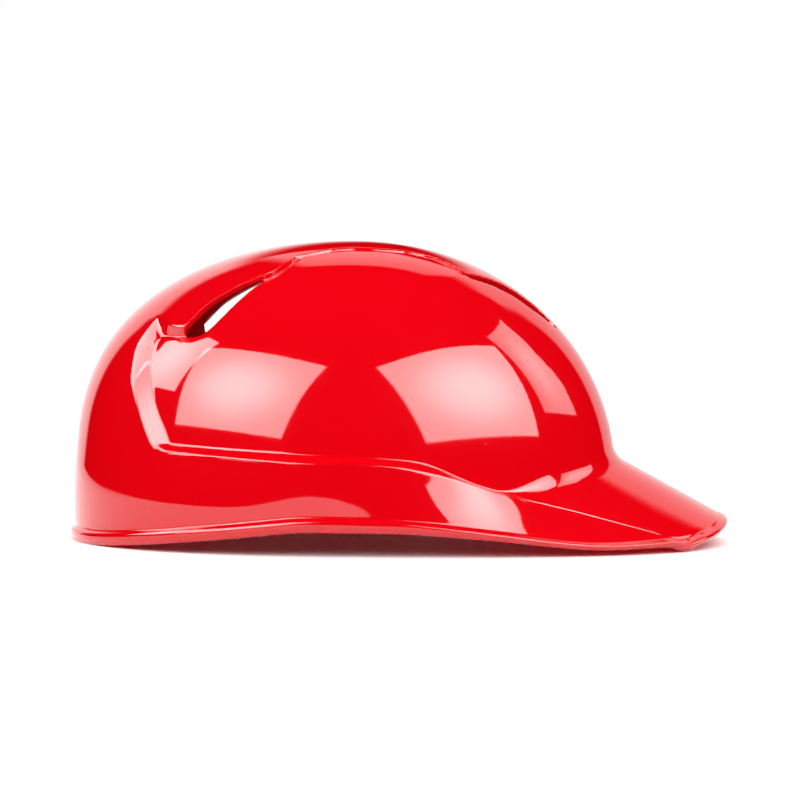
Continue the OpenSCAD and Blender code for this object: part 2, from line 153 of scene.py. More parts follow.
def blurred(values, width):
    """Values on FINE, blurred with a bell of that width in degrees."""
    reach = int(3 * width / FINE_STEP) + 1
    bell = np.exp(-0.5 * (np.arange(-reach, reach + 1) * FINE_STEP / width) ** 2)
    padded = np.pad(values, reach, mode="edge")
    return np.convolve(padded, bell / bell.sum(), mode="valid")


def softened(table, width):
    """The curve through a table's points as a function of the angle, mirrored at 0 and 180."""
    points = np.array(table, float)
    folded = np.where(FINE < 0, -FINE, np.where(FINE > 180, 360 - FINE, FINE))
    soft = blurred(np.interp(folded, points[:, 0], points[:, 1]), width)
    return lambda a: np.interp(half_turn(a), FINE, soft)


print("samples of a curve:", len(FINE))

# %% The softened curves, each with its width of softening in degrees
rim_z = softened(RIM_Z, 2.2)
bead_h = softened(BEAD_H, 2.2)
wing_in = softened(WING_IN, 2.2)
junction_z = softened(JUNCTION_Z, 2.2)
ledge_plan = softened(LEDGE_PLAN, 1.6)
ledge_drop = softened(LEDGE_DROP, 1.6)
strip_edge = softened(STRIP_EDGE, 0.42)
panel_edge = softened(PANEL_EDGE, 0.42)
panel_lip = softened(PANEL_LIP, 1.0)
strip_middle = softened(STRIP_EDGE, 7.0)
panel_middle = softened(PANEL_EDGE, 7.0)
# The side panel sinks in gently between 6 and 36 degrees, and ends in the bevel behind it.
panel_full = softened([[0, 0], [6, 0]] + [[6 + k, k / 30 * k / 30 * (3 - k / 15)] for k in range(2, 31, 2)]
                      + [[PANEL_REAR[0], 1], [PANEL_REAR[1], 0], [180, 0]], 0.38)
print("panel share at 90 and at 144.5 degrees:", panel_full(90.0), round(float(panel_full(144.5)), 3))

# %% [markdown]
# The dome
#
# The dome is a rounded form between a ball and a box: its plan is a superellipse, and
# its height falls with a power that differs at the front, the sides and the back.
# A point is given by its angle and its share of the dome's height, and it can be sunk
# inward by a depth. The side panels and the wall's inner face are such sunk points.
# A ball could be squeezed by hand to look like it, but then nothing else could be set
# on it by its angle and height.

# %% Points of the dome


def reach(a):
    """How far the dome reaches from its crown, to the front or to the back."""
    return np.where(np.cos(np.radians(a)) > 0, FRONT_REACH, REAR_REACH)


def fall(a):
    """The power with which the dome falls from its crown at an angle."""
    c = np.cos(np.radians(a))
    return SIDE_FALL + (np.where(c > 0, FRONT_FALL, REAR_FALL) - SIDE_FALL) * c * c


def radius_at(a, h):
    """The share of the plan's radius at a share of the height. `height_at` is the other way."""
    return (1 - clamp01(h) ** fall(a)) ** (1 / DOME_ROUND)


def height_at(a, g):
    return (1 - clamp01(g) ** DOME_ROUND) ** (1 / fall(a))


def plan_point(a, front, rear, side, n):
    """A point of a superellipse round the crown, seen from above."""
    c, s = np.cos(np.radians(a)), np.sin(np.radians(a))
    return CROWN_X + np.where(c > 0, front, rear) * power(c, 2 / n), side * power(s, 2 / n)


def dome(a, h, depth):
    """The dome's point at an angle and a share of its height, sunk straight in by a depth."""
    a, h, depth = np.broadcast_arrays(np.asarray(a, float), h, depth)
    g = radius_at(a, h)
    px, py = plan_point(a, FRONT_REACH, REAR_REACH, HALF_WIDTH, PLAN_POWER)
    x, y, z = (px - CROWN_X) * g, py * g, DOME_H * h
    n = np.stack([x / reach(a) ** 2, y / HALF_WIDTH ** 2, np.maximum(0, z) / DOME_H ** 2], -1)
    n /= np.maximum(np.linalg.norm(n, axis=-1, keepdims=True), 1e-9)
    return np.stack([CROWN_X + x, y, DOME_Z + z], -1) - n * depth[..., None]


def lean(h):
    """How many degrees the panel's back edge leans forward at a height."""
    return LEAN_MOST * clamp01((LEAN_FROM - h) / 0.4) ** 1.1


def lean_share(b):
    return np.where(
        b < PANEL_REAR[0], LEAN_SHARE * smooth01((b - LEAN_START) / (PANEL_REAR[0] - LEAN_START)),
        np.where(b < PANEL_REAR[1],
                 mix(LEAN_SHARE, 1, (b - PANEL_REAR[0]) / (PANEL_REAR[1] - PANEL_REAR[0])),
                 1 - (b - PANEL_REAR[1]) / (180 - PANEL_REAR[1])))


def leaned(a, h):
    """The angle of a column at a height: the columns lean as the panel's back edge does."""
    b = half_turn(a)
    return np.where(np.mod(a, 360) > 180, 360 - (b - lean_share(b) * lean(h)), b - lean_share(b) * lean(h))


def panel_sink(a, h):
    """How deep the side panel lies. It gets shallower towards the crown strip."""
    return panel_full(a) * PANEL_DEPTH * mix(1, TOP_SINK, smooth01((h - 0.7) / 0.22))


print("top of the dome (mm):", dome(0.0, 1.0, 0.0).round(2))

# %% [markdown]
# The rim, the lower band and the ledge
#
# Under the dome the wall steps out. From the rim's rounded bead it rises as a band, turns
# in over a ledge and meets the side panel. Towards the front the ledge widens into the
# top of the bill, and its outer edge becomes the crease that runs to the bill's corner.
# Each could be extruded on its own from the dome's lower edge. Here each is a line that
# runs round the whole cap, so that all of them flow into the bill together.

# %% Points of the rim and the ledge


def bill_share(a):
    """1 at the bill and 0 at the sides."""
    return smooth01((BILL_END - half_turn(a)) / BILL_FADE)


def outward(a):
    """The level way out at an angle."""
    c, s = np.cos(np.radians(a)), np.sin(np.radians(a))
    x = c / np.where(c > 0, 1.45, 1.2)
    return np.stack([x, s, np.zeros_like(x)], -1) / np.hypot(x, s)[..., None]


def shifted(p, a, out, up):
    out, up = np.broadcast_arrays(out, up)
    return p + outward(a) * out[..., None] + np.stack([0 * up, 0 * up, up], -1)


def rim_top(a):
    c = np.cos(np.radians(a))
    n = np.where(c > 0, BILL_POWER, PLAN_POWER)
    x, y = plan_point(a, BILL_REACH, REAR_REACH, BAND_HALF_WIDTH, n)
    return np.stack([x, y, rim_z(a) + bead_h(a)], -1)


def droop(a):
    """How far the rim droops at the bill's corner."""
    return CORNER_DROOP * smooth01(1 - np.abs(half_turn(a) - CORNER_A) / DROOP_REACH)


def bead_point(a, f):
    """A point of the rounded bead, from its top (f = 0) to its lower edge (f = 1)."""
    stand = mix(BEAD_OUT, BILL_TIP_OUT, bill_share(a))
    over = np.sin(np.pi * f ** 0.8) * (1 - f / 3) + 0.3 * f
    return shifted(rim_top(a), a, stand * over, -bead_h(a) * f - droop(a) * mix(TOP_DROOP, 1, f))


print("rim's top edge at the back (mm):", rim_top(np.array([180.0]))[0].round(2))

# %% [markdown]
# Columns and rows
#
# The surface is a grid. A column stands at each angle, and its rows climb from the
# rim to the crown. Both stand closer where an edge turns. Each column is drawn
# as stretches that meet in corners, and every corner is then replaced by a small
# Bezier arc, because moulded plastic has no sharp edge and gloss shows the arc
# as the thin bright line that the photo has along each step. A Bevel modifier rounds
# edges too, but it makes dents where two of them run together, as they do here.

# %% The angles of the columns


def column_angles():
    steps = [(24, 0.8), (36, 0.5), (37, 0.8), (40.5, 0.3), (112, 0.8), (115.8, 0.4), (118.6, 0.25),
             (136, 0.4), (140.5, 0.8), (149, 0.4), (180, 0.8)]
    angles, at = [], 0.0
    for end, step in steps:
        count = max(1, round((end - at) / step))
        angles += list(at + (end - at) * np.arange(count) / count)
        at = end
    return np.array(angles + [180.0] + [360 - a for a in reversed(angles) if a > 0])


COLUMNS = column_angles()
LOW = leaned(COLUMNS, 0.2)


def in_vent(a):
    b = half_turn(a)
    return ((b > FRONT_VENT[0]) & (b < FRONT_VENT[1])) | ((b > REAR_VENT[0]) & (b < REAR_VENT[1]))


def column_at(angle):
    """The column whose foot stands nearest to an angle."""
    return np.argmin(np.abs(LOW - angle))


OPEN = in_vent(COLUMNS)
print("columns:", len(COLUMNS), " in a vent:", int(OPEN.sum()))

# %% [markdown]
# Every stretch below is a function of a share from 0 to 1, for all columns at once. The
# side panel slopes down a little along the rear vent, as a lip. How near a point is to
# the vent's edge is measured in space, so the lip keeps its width along the curve.

# %% Where the panel turns in along the rear vent
FOOT = np.arcsin((junction_z(LOW) - DOME_Z) / DOME_H)
NEAR_VENT = (half_turn(COLUMNS) > 108) & (half_turn(COLUMNS) < 136)


def vent_edge():
    """The panel's edge along the rear vents, as points in space."""
    a = np.concatenate([np.arange(116.5, 133.4, 0.15), 360 - np.arange(116.5, 133.4, 0.15)])
    h = height_at(a, panel_edge(a))
    return dome(leaned(a, h), h, panel_sink(a, h))


VENT_EDGE = vent_edge()


def turned_in(points):
    """How far the panel's surface turns in: it slopes down towards the rear vent's edge."""
    depth = np.zeros(len(points))
    close = points[NEAR_VENT]
    apart = np.linalg.norm(close[:, None, :] - VENT_EDGE[None, :, :], axis=2).min(1)
    share = clamp01(1 - apart / LIP_W)
    # The root lets the slope begin gently. Where it begins, the root is 0.1414.
    depth[NEAR_VENT] = LIP_ROLL * (np.sqrt(share * share + 0.02) - 0.1414) / (math.sqrt(1.02) - 0.1414)
    return depth


print("points along the rear vents' edges:", len(VENT_EDGE))

# %% [markdown]
# The panel climbs from the ledge to its lip, and the strip from its own edge to the
# crown. Both are the dome, sunk in by a depth. `follow` spreads the rows evenly along a
# smooth middle line, and bends only the last ones to the jumps of the real edge.

# %% The panel, its lip and the strip


def follow(foot, middle, edge, f):
    return mix(foot, middle, f) + (edge - middle) * f ** 5


def panel_at(f, depth):
    """From the ledge (f = 0) up to the lip of the side panel (f = 1)."""
    lip = panel_lip(COLUMNS)
    middle = np.arcsin(height_at(COLUMNS, panel_middle(COLUMNS) + lip))
    edge = np.arcsin(height_at(COLUMNS, panel_edge(COLUMNS) + lip))
    h = np.sin(follow(FOOT, middle, edge, f))
    flat = dome(leaned(COLUMNS, h), h, panel_sink(COLUMNS, h))
    return dome(leaned(COLUMNS, h), h, panel_sink(COLUMNS, h) + turned_in(flat) + depth)


def lip_at(f, depth):
    """From the lip's start (f = 0) to the panel's edge (f = 1)."""
    g = panel_edge(COLUMNS) + panel_lip(COLUMNS) * (1 - f)
    h = height_at(COLUMNS, g)
    flat = dome(leaned(COLUMNS, h), h, panel_sink(COLUMNS, h))
    drop = np.maximum(turned_in(flat), 0.7 * panel_full(COLUMNS) * f)
    return dome(leaned(COLUMNS, h), h, panel_sink(COLUMNS, h) + drop + depth)


def strip_at(f, depth):
    """From the strip's edge (f = 0) to just before the crown (f = 1)."""
    t = follow(0, np.arcsin(strip_middle(COLUMNS)), np.arcsin(strip_edge(COLUMNS)), 1 - 0.97 * f)
    return dome(COLUMNS, height_at(COLUMNS, np.sin(t)), depth)


INNER_LINE, RIM_LINE = panel_at(0.0, 0.0), rim_top(LOW)
DOME_LINE = dome(leaned(COLUMNS, np.sin(FOOT)), np.sin(FOOT), 0.0)
print("panel's foot in the middle of the side (mm):", INNER_LINE[column_at(90)].round(1))

# %% [markdown]
# Behind the side panels there is no ledge: one curve runs from the rim to the dome, and
# leaves both without a kink. It is a cubic curve with a given way out at each end.

# %% The curve behind the panels
BACK_LEAN = 0.16                    # the band leans out a little above the bead
LEDGE_TOP = 0.89                    # where the ledge's corner would lie on that curve
BACK = smooth01((half_turn(COLUMNS) - PANEL_REAR[0]) / (PANEL_REAR[1] - PANEL_REAR[0]))[:, None]
AROUND = smooth01((half_turn(LOW) - 96) / 29)[:, None]    # from 96 to 125 degrees
FOOT_SLOPE = DOME_LINE - dome(leaned(COLUMNS, np.sin(FOOT + 0.02)), np.sin(FOOT + 0.02), 0.0)
FOOT_SLOPE /= np.linalg.norm(FOOT_SLOPE, axis=1, keepdims=True)


def smooth_back(f):
    """From the rim (f = 0) to the dome (f = 1)."""
    span = np.linalg.norm(DOME_LINE - RIM_LINE, axis=1, keepdims=True)
    up = (np.array([[0.0, 0.0, 1.0]]) + BACK_LEAN * outward(LOW)) * span
    g = 1 - f
    return ((1 + 2 * f) * g * g * RIM_LINE + f * g * g * up
            + f * f * (3 - 2 * f) * DOME_LINE + f * f * g * FOOT_SLOPE * span)


print("columns without a ledge:", int((BACK == 1).sum()))

# %% [markdown]
# The ledge's outer corner lies part of the way from the panel's foot to the rim. Towards
# the front it becomes the bill's crease, a long straight line. Small wiggles would bend
# the reflections beside it, so they are blurred out along the crease.

# %% The ledge's corner and the crease
# 1 along the crease, from 39 to 56 degrees, and 0 a few degrees beyond that.
ON_CREASE = (smooth01((half_turn(LOW) - 36) / 3) * smooth01((62 - half_turn(LOW)) / 6))[:, None]


def ledge_corner():
    i, t, b = panel_at(0.0, 0.0), rim_top(LOW), LOW
    share = np.stack([ledge_plan(b), ledge_plan(b), ledge_drop(b)], -1)
    return shifted(mix(i, t, share), b, -wing_in(b), 0.0)


def evened(line, rounds=8):
    for _ in range(rounds):
        blurred_line = (np.roll(line, 1, 0) + 2 * line + np.roll(line, -1, 0)) / 4
        line = mix(line, blurred_line, ON_CREASE)
    return line


OUTER_LINE = evened(mix(ledge_corner(), smooth_back(LEDGE_TOP), AROUND))
print("crease above the rim (mm):", (OUTER_LINE - RIM_LINE)[column_at(50), 2].round(1))

# %% The bead, the band, the ledge, the riser and the vents' walls
# The band is bent in slightly between the bill and the middle of the side.
HOLLOW = 0.9 * smooth01((half_turn(LOW) - 38) / 14) * smooth01((92 - half_turn(LOW)) / 14)
EDGE_DEPTH = np.where(OPEN, FLANGE, WALL)


def bead_at(f):
    return bead_point(LOW, 1 - f)


def band_at(f):
    out = (0.5 * (1 - bill_share(LOW)) - HOLLOW) * np.sin(np.pi * f)
    plain = shifted(mix(RIM_LINE, OUTER_LINE, f), LOW, out, -TOP_DROOP * droop(LOW) * (1 - f))
    return mix(plain, smooth_back(LEDGE_TOP * f), AROUND)


def ledge_at(f):
    bulge = smooth_back(mix(LEDGE_TOP, 1, f)) - mix(smooth_back(LEDGE_TOP), DOME_LINE, f)
    return mix(OUTER_LINE, INNER_LINE, f) + BACK * bulge


def riser_at(f):
    return mix(lip_at(1.0, 0.0), strip_at(0.0, 0.0), f)


def lip_wall_at(f):
    return mix(lip_at(1.0, 0.0), lip_at(1.0, WALL), f)


def strip_wall_at(f):
    return mix(strip_at(0.0, EDGE_DEPTH), strip_at(0.0, 0.0), f)


band_height = (band_at(1.0) - band_at(0.0))[column_at(90), 2]
print("the band's height in the middle of the side (mm):", band_height.round(1))

# %% [markdown]
# `stretch_rows` measures a stretch along each column, leaves room for the arcs at both
# of its ends, and places its rows by real distance. The rows beside an arc stand close
# to it, so that the arc's shading does not spread over the wide faces next to it.

# %% Rows along a stretch, and the arcs between them


def stretch_rows(at, count, cut0, cut1, guard=0.35):
    """The rows of a stretch. At most 0.42 of it is left to the arc at each end."""
    fine = np.linspace(0, 1, 161)
    pts = np.array([at(f) for f in fine])
    length = np.vstack([np.zeros(pts.shape[1]),
                        np.cumsum(np.linalg.norm(np.diff(pts, axis=0), axis=2), axis=0)])
    total = length[-1]
    start = np.minimum(cut0, 0.42 * total)
    end = total - np.minimum(cut1, 0.42 * total)
    near = np.minimum(guard, 0.2 * (end - start))
    shares = np.linspace(0, 1, count - 2)
    marks = [start] + [mix(start + near, end - near, s) for s in shares] + [end]
    rows = []
    for mark in marks:
        row = np.empty((pts.shape[1], 3))
        for c in range(pts.shape[1]):
            for k in range(3):
                row[c, k] = np.interp(mark[c], length[:, c], pts[:, c, k])
        rows.append(row)
    return rows


def arc_rows(before, corner, after, count):
    """The rows of a Bezier arc between two rows. The corner draws it outward."""
    out = []
    for k in range(1, count + 1):
        f = k / (count + 1)
        out.append((1 - f) ** 2 * before + 2 * f * (1 - f) * corner + f * f * after)
    return out


def vent_pick(in_vent_rows, other_rows):
    """At a vent the wall turns down and up again. Elsewhere the riser joins lip and strip."""
    return [np.where(OPEN[:, None], a, b) for a, b in zip(in_vent_rows, other_rows)]


print("an arc of 3 rows round a corner from 0 to 1:", [round(v, 2) for v in arc_rows(0.0, 1.0, 1.0, 3)])

# %% [markdown]
# A `cut` is how far before a corner its arc starts, in millimetres. A small cut gives a
# crisp edge with a thin bright line, and a large one gives a soft fold, as at the foot
# of the dome over the bill.

# %% The cuts, and the rows of each stretch
SIDE = 1 - bill_share(LOW)
THIN_EDGE = 0.48                    # share of the wall's thickness that the bill's edge has
cut_rim = 0.9
ON_WING = smooth01((half_turn(LOW) - 29) / 6) * smooth01((68 - half_turn(LOW)) / 8)
cut_outer = mix(mix(1.4, 1.1, SIDE), 0.7, ON_WING)
cut_inner = mix(1.1, 5.0, smooth01((58 - half_turn(LOW)) / 12))
cut_lip = 0.9
cut_edge = 0.7
RIDGE = ON_CREASE * np.array([[0.0, 0.0, 0.4]])    # the crease stands up as a fine line

bottom_in = shifted(np.stack([RIM_LINE[:, 0], RIM_LINE[:, 1], rim_z(LOW)], -1), LOW,
                    mix(-WALL, -THIN_EDGE * WALL, 1 - SIDE) + (1 - SIDE), -droop(LOW))
bead = stretch_rows(bead_at, 15, 0.8, cut_rim, 0.15)
bottom = [mix(bottom_in, bead_at(0.0), f) for f in (0.0, 0.35, 0.7)]
band = stretch_rows(band_at, 12, cut_rim, cut_outer)
ledge = stretch_rows(ledge_at, 5, cut_outer, cut_inner, 0.3)
panel = stretch_rows(lambda f: panel_at(f, 0.0), 34, cut_inner, cut_lip)
lip = stretch_rows(lambda f: lip_at(f, 0.0), 4, cut_lip, cut_edge, 0.15)
wall_down = stretch_rows(lip_wall_at, 3, cut_edge, 0.0, 0.2)
wall_up = stretch_rows(strip_wall_at, 3, 0.0, cut_edge, 0.2)
riser = stretch_rows(riser_at, 6, cut_edge, cut_edge, 0.2)
strip = stretch_rows(lambda f: strip_at(f, 0.0), 26, cut_edge, 0.0)
stretches = (bottom, bead, band, ledge, panel, lip, riser, strip)
print("rows without the arcs:", sum(len(rows) for rows in stretches))

# %% All rows of the outer face, from the rim to the crown
middle_rows = vent_pick(wall_down + wall_up, riser)
outer_rows = (
    bottom + arc_rows(bottom[-1], bead_at(0.0), bead[0], 3)
    + bead + arc_rows(bead[-1], bead_at(1.0), band[0], 4)
    + band + arc_rows(band[-1], OUTER_LINE + RIDGE, ledge[0], 5)
    + ledge + arc_rows(ledge[-1], INNER_LINE, panel[0], 5)
    + panel + arc_rows(panel[-1], panel_at(1.0, 0.0), lip[0], 3)
    + lip + arc_rows(lip[-1], lip_at(1.0, 0.0), middle_rows[0], 4))
GAP_ROW = len(outer_rows) + 2       # a vent opens between this row and the next
FIRST_SOFT, LAST_SOFT = GAP_ROW - 16, GAP_ROW + 5
outer_rows += middle_rows + arc_rows(middle_rows[-1], strip_at(0.0, 0.0), strip[0], 4) + strip


def soften_corner(rows, rounds=30):
    """Above the rear bevel the step fans round a corner: there its edges are blended away."""
    b = half_turn(COLUMNS)
    fan = (smooth01((b - 140.2) / 2.0) * smooth01((152 - b) / 3.0))[:, None]
    for _ in range(rounds):
        for r in range(FIRST_SOFT, LAST_SOFT):
            rows[r] = mix(rows[r], (rows[r - 1] + 2 * rows[r] + rows[r + 1]) / 4, fan)


soften_corner(outer_rows)
print("rows of the outer face:", len(outer_rows))

# %% [markdown]
# The inner face and the whole skin
#
# The wall's inner face follows the outer one at the wall's thickness, with fewer rows.
# Both faces join under the rim and around the vents, so the shell is one closed skin,
# as a moulding is. A Solidify modifier could give the wall, but it copies each small
# step to the inside and crosses itself in the tight corners.

# %% The inner face
UNDER_BILL, UNDER_LEDGE, UNDER_FOOT = 0.87, 0.53, 0.6    # how far the inner face lies lower, in walls
under = -UNDER_BILL * WALL * bill_share(LOW)
back = mix(-WALL, -THIN_EDGE * WALL, bill_share(LOW))
on_ledge = smooth01((132 - half_turn(LOW)) / 12)


def inner_band_at(f):
    out = back + 0.6 * (1 - bill_share(LOW)) * math.sin(math.pi * f)
    return shifted(mix(RIM_LINE, OUTER_LINE, f), LOW, out, under - TOP_DROOP * droop(LOW) * (1 - f))


inner_outer = shifted(OUTER_LINE, LOW, back, mix(-UNDER_LEDGE * WALL * on_ledge, under, bill_share(LOW)))
inner_inner = shifted(INNER_LINE, LOW, -WALL, -UNDER_FOOT * WALL * on_ledge)
inner_rows = (
    [mix(bottom_in, inner_band_at(0.0), f) for f in (0.0, 0.5)]
    + [mix(inner_band_at(f), inner_outer, smooth01((f - 0.8) / 0.2)) for f in (0, 0.3, 0.6, 0.85)]
    + [inner_outer, mix(inner_outer, inner_inner, 0.5), inner_inner]
    + [panel_at(f, WALL) for f in np.linspace(0.04, 1, 16)]
    + [lip_at(1.0, WALL), strip_at(0.0, EDGE_DEPTH)]
    + [strip_at(f, WALL) for f in np.linspace(0.05, 1, 12)])
INNER_GAP = 2 + 4 + 3 + 16
print("rows of the inner face:", len(inner_rows))

# %% Join the rows into one mesh


def skin_faces(base, rows, gap_row, flip):
    """Quads between each column and the next, left out where a vent is open."""
    cols, faces = len(COLUMNS), []
    for c in range(cols):
        d = (c + 1) % cols
        hole = OPEN[c] and OPEN[d]
        for r in range(rows - 1):
            if hole and r == gap_row:
                continue
            this, other = base + c * rows + r, base + d * rows + r
            quad = (this, this + 1, other + 1, other)
            faces.append(quad[::-1] if flip else quad)
    return faces


def build_shell():
    cols, ro, ri = len(COLUMNS), len(outer_rows), len(inner_rows)
    outer = np.stack(outer_rows, 1).reshape(-1, 3)
    inner = np.stack(inner_rows, 1).reshape(-1, 3)
    crown = np.array([[CROWN_X, 0, CROWN_Z], [CROWN_X, 0, CROWN_Z - WALL]])
    points = np.vstack([outer, inner, crown]) * MM
    base, top = cols * ro, cols * (ro + ri)
    outside = skin_faces(0, ro, GAP_ROW, True) + [
        (c * ro + ro - 1, (c + 1) % cols * ro + ro - 1, top) for c in range(cols)]
    inside = skin_faces(base, ri, INNER_GAP, False) + [
        (base + (c + 1) % cols * ri + ri - 1, base + c * ri + ri - 1, top + 1) for c in range(cols)]
    faces = outside + inside
    mesh = bpy.data.meshes.new("moulded_shell")
    mesh.from_pydata(points.tolist(), [], faces)
    mesh.polygons.foreach_set("material_index", [0] * len(outside) + [1] * len(inside))
    bm = bmesh.new()
    bm.from_mesh(mesh)
    bmesh.ops.remove_doubles(bm, verts=bm.verts, dist=2e-6)     # where rows of both faces meet
    bmesh.ops.recalc_face_normals(bm, faces=bm.faces)
    for face in bm.faces:
        face.smooth = True
    loose = sum(1 for e in bm.edges if len(e.link_faces) != 2)
    print("shell:", len(bm.verts), "points,", len(bm.faces), "faces, open edges:", loose,
          "volume (cm3):", round(bm.calc_volume() * 1e6, 1))
    bm.to_mesh(mesh)
    bm.free()
    shell = bpy.data.objects.new("moulded_shell", mesh)
    bpy.context.scene.collection.objects.link(shell)
    return shell


shell = build_shell()
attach(shell, "root")
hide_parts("shell")

# %% [markdown]
# Foam and pads: one way to make them all
#
# The foam sections and the pads are cut from flat sheet and then bent to follow the
# dome. So each one is drawn flat, in millimetres: a grid in a rectangle with rounded
# corners, with a thickness at every point. A `carry` function then bends the flat
# points onto the dome's inside. That keeps the edge's profile, the cuts and the sewn
# lines easy to draw, whatever the place. A Simple Deform modifier could bend a sheet
# too, but only one way, and a dome curves both ways.

# %% Sizes of the lining, and how a flat point is carried to the dome
LINER_T, PAD_T, DISC_T, SEAT_GAP, LINER_GAP = 8.0, 5.0, 0.8, 0.3, 0.8
STACK = LINER_T + 2 * DISC_T + 3 * SEAT_GAP       # from the foam's outer face to the pad's
CROWN_SEAT = WALL + PANEL_DEPTH * TOP_SINK + LINER_GAP
PER_DEGREE = 95 / 57.3                            # millimetres along the wall for a degree


def on_wall(a0, a1, h0, h1, lift=0.0):
    """Half sizes, and the carrier for a piece between two angles and two heights."""
    def carry(x, y, z):
        a, h = (a0 + a1) / 2 + x / PER_DEGREE, (h0 + h1) / 2 + y / DOME_H
        return dome(a, h, panel_sink(a, h) + WALL + LINER_GAP + lift + z)
    return ((a1 - a0) / 2 * PER_DEGREE, (h1 - h0) / 2 * DOME_H), carry


def under_crown(x0, x1, y1, lift=0.0):
    """The same for a piece under the crown, where the angles of the dome run together."""
    def carry(x, y, z):
        px = x + (x0 + x1) / 2 - CROWN_X
        sx, sy = px / np.where(px > 0, FRONT_REACH, REAR_REACH), y / HALF_WIDTH
        g = (np.abs(sx) ** PLAN_POWER + np.abs(sy) ** PLAN_POWER) ** (1 / PLAN_POWER)
        a = np.degrees(np.arctan2(power(sy, PLAN_POWER / 2), power(sx, PLAN_POWER / 2)))
        return dome(a, height_at(a, g), CROWN_SEAT + lift + z)
    return ((x1 - x0) / 2, y1), carry


print("pads stand", round(STACK, 2), "mm off the foam's outer face")

# %% [markdown]
# A slab is a grid whose outermost squares are pulled into quarter discs, so its rounded
# corners need no extra faces. Its lines stand close together by the edges, beside the
# cuts and beside the seams, where the thickness changes.

# %% Rounded corners, and the lines of the grid


def rounded(x, y, half, corner):
    """Moves the points in the corner squares of a grid into quarter discs."""
    p = clamp01((np.abs(x) - half[0] + corner) / corner)
    q = clamp01((np.abs(y) - half[1] + corner) / corner)
    new_x = np.sign(x) * (half[0] - corner + corner * p * np.sqrt(1 - q * q / 2))
    new_y = np.sign(y) * (half[1] - corner + corner * q * np.sqrt(1 - p * p / 2))
    return np.where(p > 0, new_x, x), np.where(q > 0, new_y, y)


def distance_in(x, y, half, corner):
    """How far a point lies inside the edge. Rounding must not take it below 0."""
    qx, qy = np.abs(x) - half[0] + corner, np.abs(y) - half[1] + corner
    deep = corner - np.hypot(np.maximum(qx, 0), np.maximum(qy, 0)) - np.minimum(np.maximum(qx, qy), 0)
    return np.maximum(deep, 0)


def grid_lines(half, step, cuts=()):
    """Grid lines across a slab, closer together by its edges and beside each cut or seam."""
    near, inner = np.array([0, 0.3, 0.7, 1.2, 1.9, 2.8]), half - 3.8
    lines = list(near - half) + list(half - near)
    lines += list(np.linspace(-inner, inner, max(2, round(2 * inner / step)) + 1))
    for cut in cuts:
        lines = [v for v in lines if abs(v - cut) > 2.5]
        lines += [cut + k for k in (-1.9, -1.3, -0.8, -0.4, 0, 0.4, 0.8, 1.3, 1.9)]
    return np.unique(np.round(lines, 3))


print("first grid lines of a slab 40 mm wide:", grid_lines(20.0, 2.6)[:6])

# %% A piece from points and faces


def new_piece(name, points, faces, mirrored=False):
    """A smooth object from points in millimetres, or its mirror image for the other side."""
    points = np.array(points) * MM
    if mirrored:
        points[:, 1] *= -1
    mesh = bpy.data.meshes.new(name)
    mesh.from_pydata(points.tolist(), [], faces)
    bm = bmesh.new()
    bm.from_mesh(mesh)
    bmesh.ops.recalc_face_normals(bm, faces=bm.faces)
    for face in bm.faces:
        face.smooth = True
    bm.to_mesh(mesh)
    bm.free()
    piece = bpy.data.objects.new(name, mesh)
    bpy.context.scene.collection.objects.link(piece)
    return piece


# %% The slab itself


def around(nx, ny):
    """The grid's outermost points in order, as numbers in its flat list."""
    ring = ([(i, 0) for i in range(nx - 1)] + [(nx - 1, j) for j in range(ny - 1)]
            + [(i, ny - 1) for i in range(nx - 1, 0, -1)] + [(0, j) for j in range(ny - 1, 0, -1)])
    return np.array([i * ny + j for i, j in ring])


def slab(half, corner, carry, face, back, xs, ys):
    """A closed slab's points and faces, and each point's x, y, distance in and whether it is on the face."""
    gx, gy = rounded(*np.meshgrid(xs, ys, indexing="ij"), half, corner)
    deep = distance_in(gx, gy, half, corner)
    nx, ny = gx.shape
    edge = around(nx, ny)
    flat = [(gx.ravel(), gy.ravel(), back(deep).ravel()),
            (gx.ravel(), gy.ravel(), face(gx, gy, deep).ravel())]
    low, high = flat[0][2][edge], flat[1][2][edge]
    for f in (0.3, 0.7):
        flat.append((flat[0][0][edge], flat[0][1][edge], mix(low, high, f)))
    x, y, z = (np.concatenate([part[k] for part in flat]) for k in range(3))
    size, count, faces = nx * ny, len(edge), []
    for i in range(nx - 1):
        for j in range(ny - 1):
            a, b, c, d = i * ny + j, (i + 1) * ny + j, (i + 1) * ny + j + 1, i * ny + j + 1
            faces += [(a, d, c, b), (size + a, size + b, size + c, size + d)]
    for q in range(count):
        r = (q + 1) % count
        rows = [edge, 2 * size + np.arange(count), 2 * size + count + np.arange(count), size + edge]
        for low_row, high_row in zip(rows, rows[1:]):
            faces.append((int(low_row[q]), int(low_row[r]), int(high_row[r]), int(high_row[q])))
    on_face = np.zeros(len(x), bool)
    on_face[size:2 * size] = True
    return carry(x, y, z), faces, (x, y, distance_in(x, y, half, corner), on_face)


print("points round a grid of 30 by 20:", len(around(30, 20)))

# %% [markdown]
# The firm foam sections
#
# The foam is about 8 mm thick, with a rounded edge on the head's side. A long section
# can't bend round the head in one go, so it has cuts across its face, as the real
# sheets have. The cuts could be drawn in a bump map, but the light falls into a real
# one from the side, so each cut is part of the thickness.

# %% The foam sections
EDGE_ROUND, BACK_ROUND = 3.0, 0.8    # radius of the edge on the head's side and on the shell's
CUT_DEEP, CUT_WIDE = 3.2, 0.9


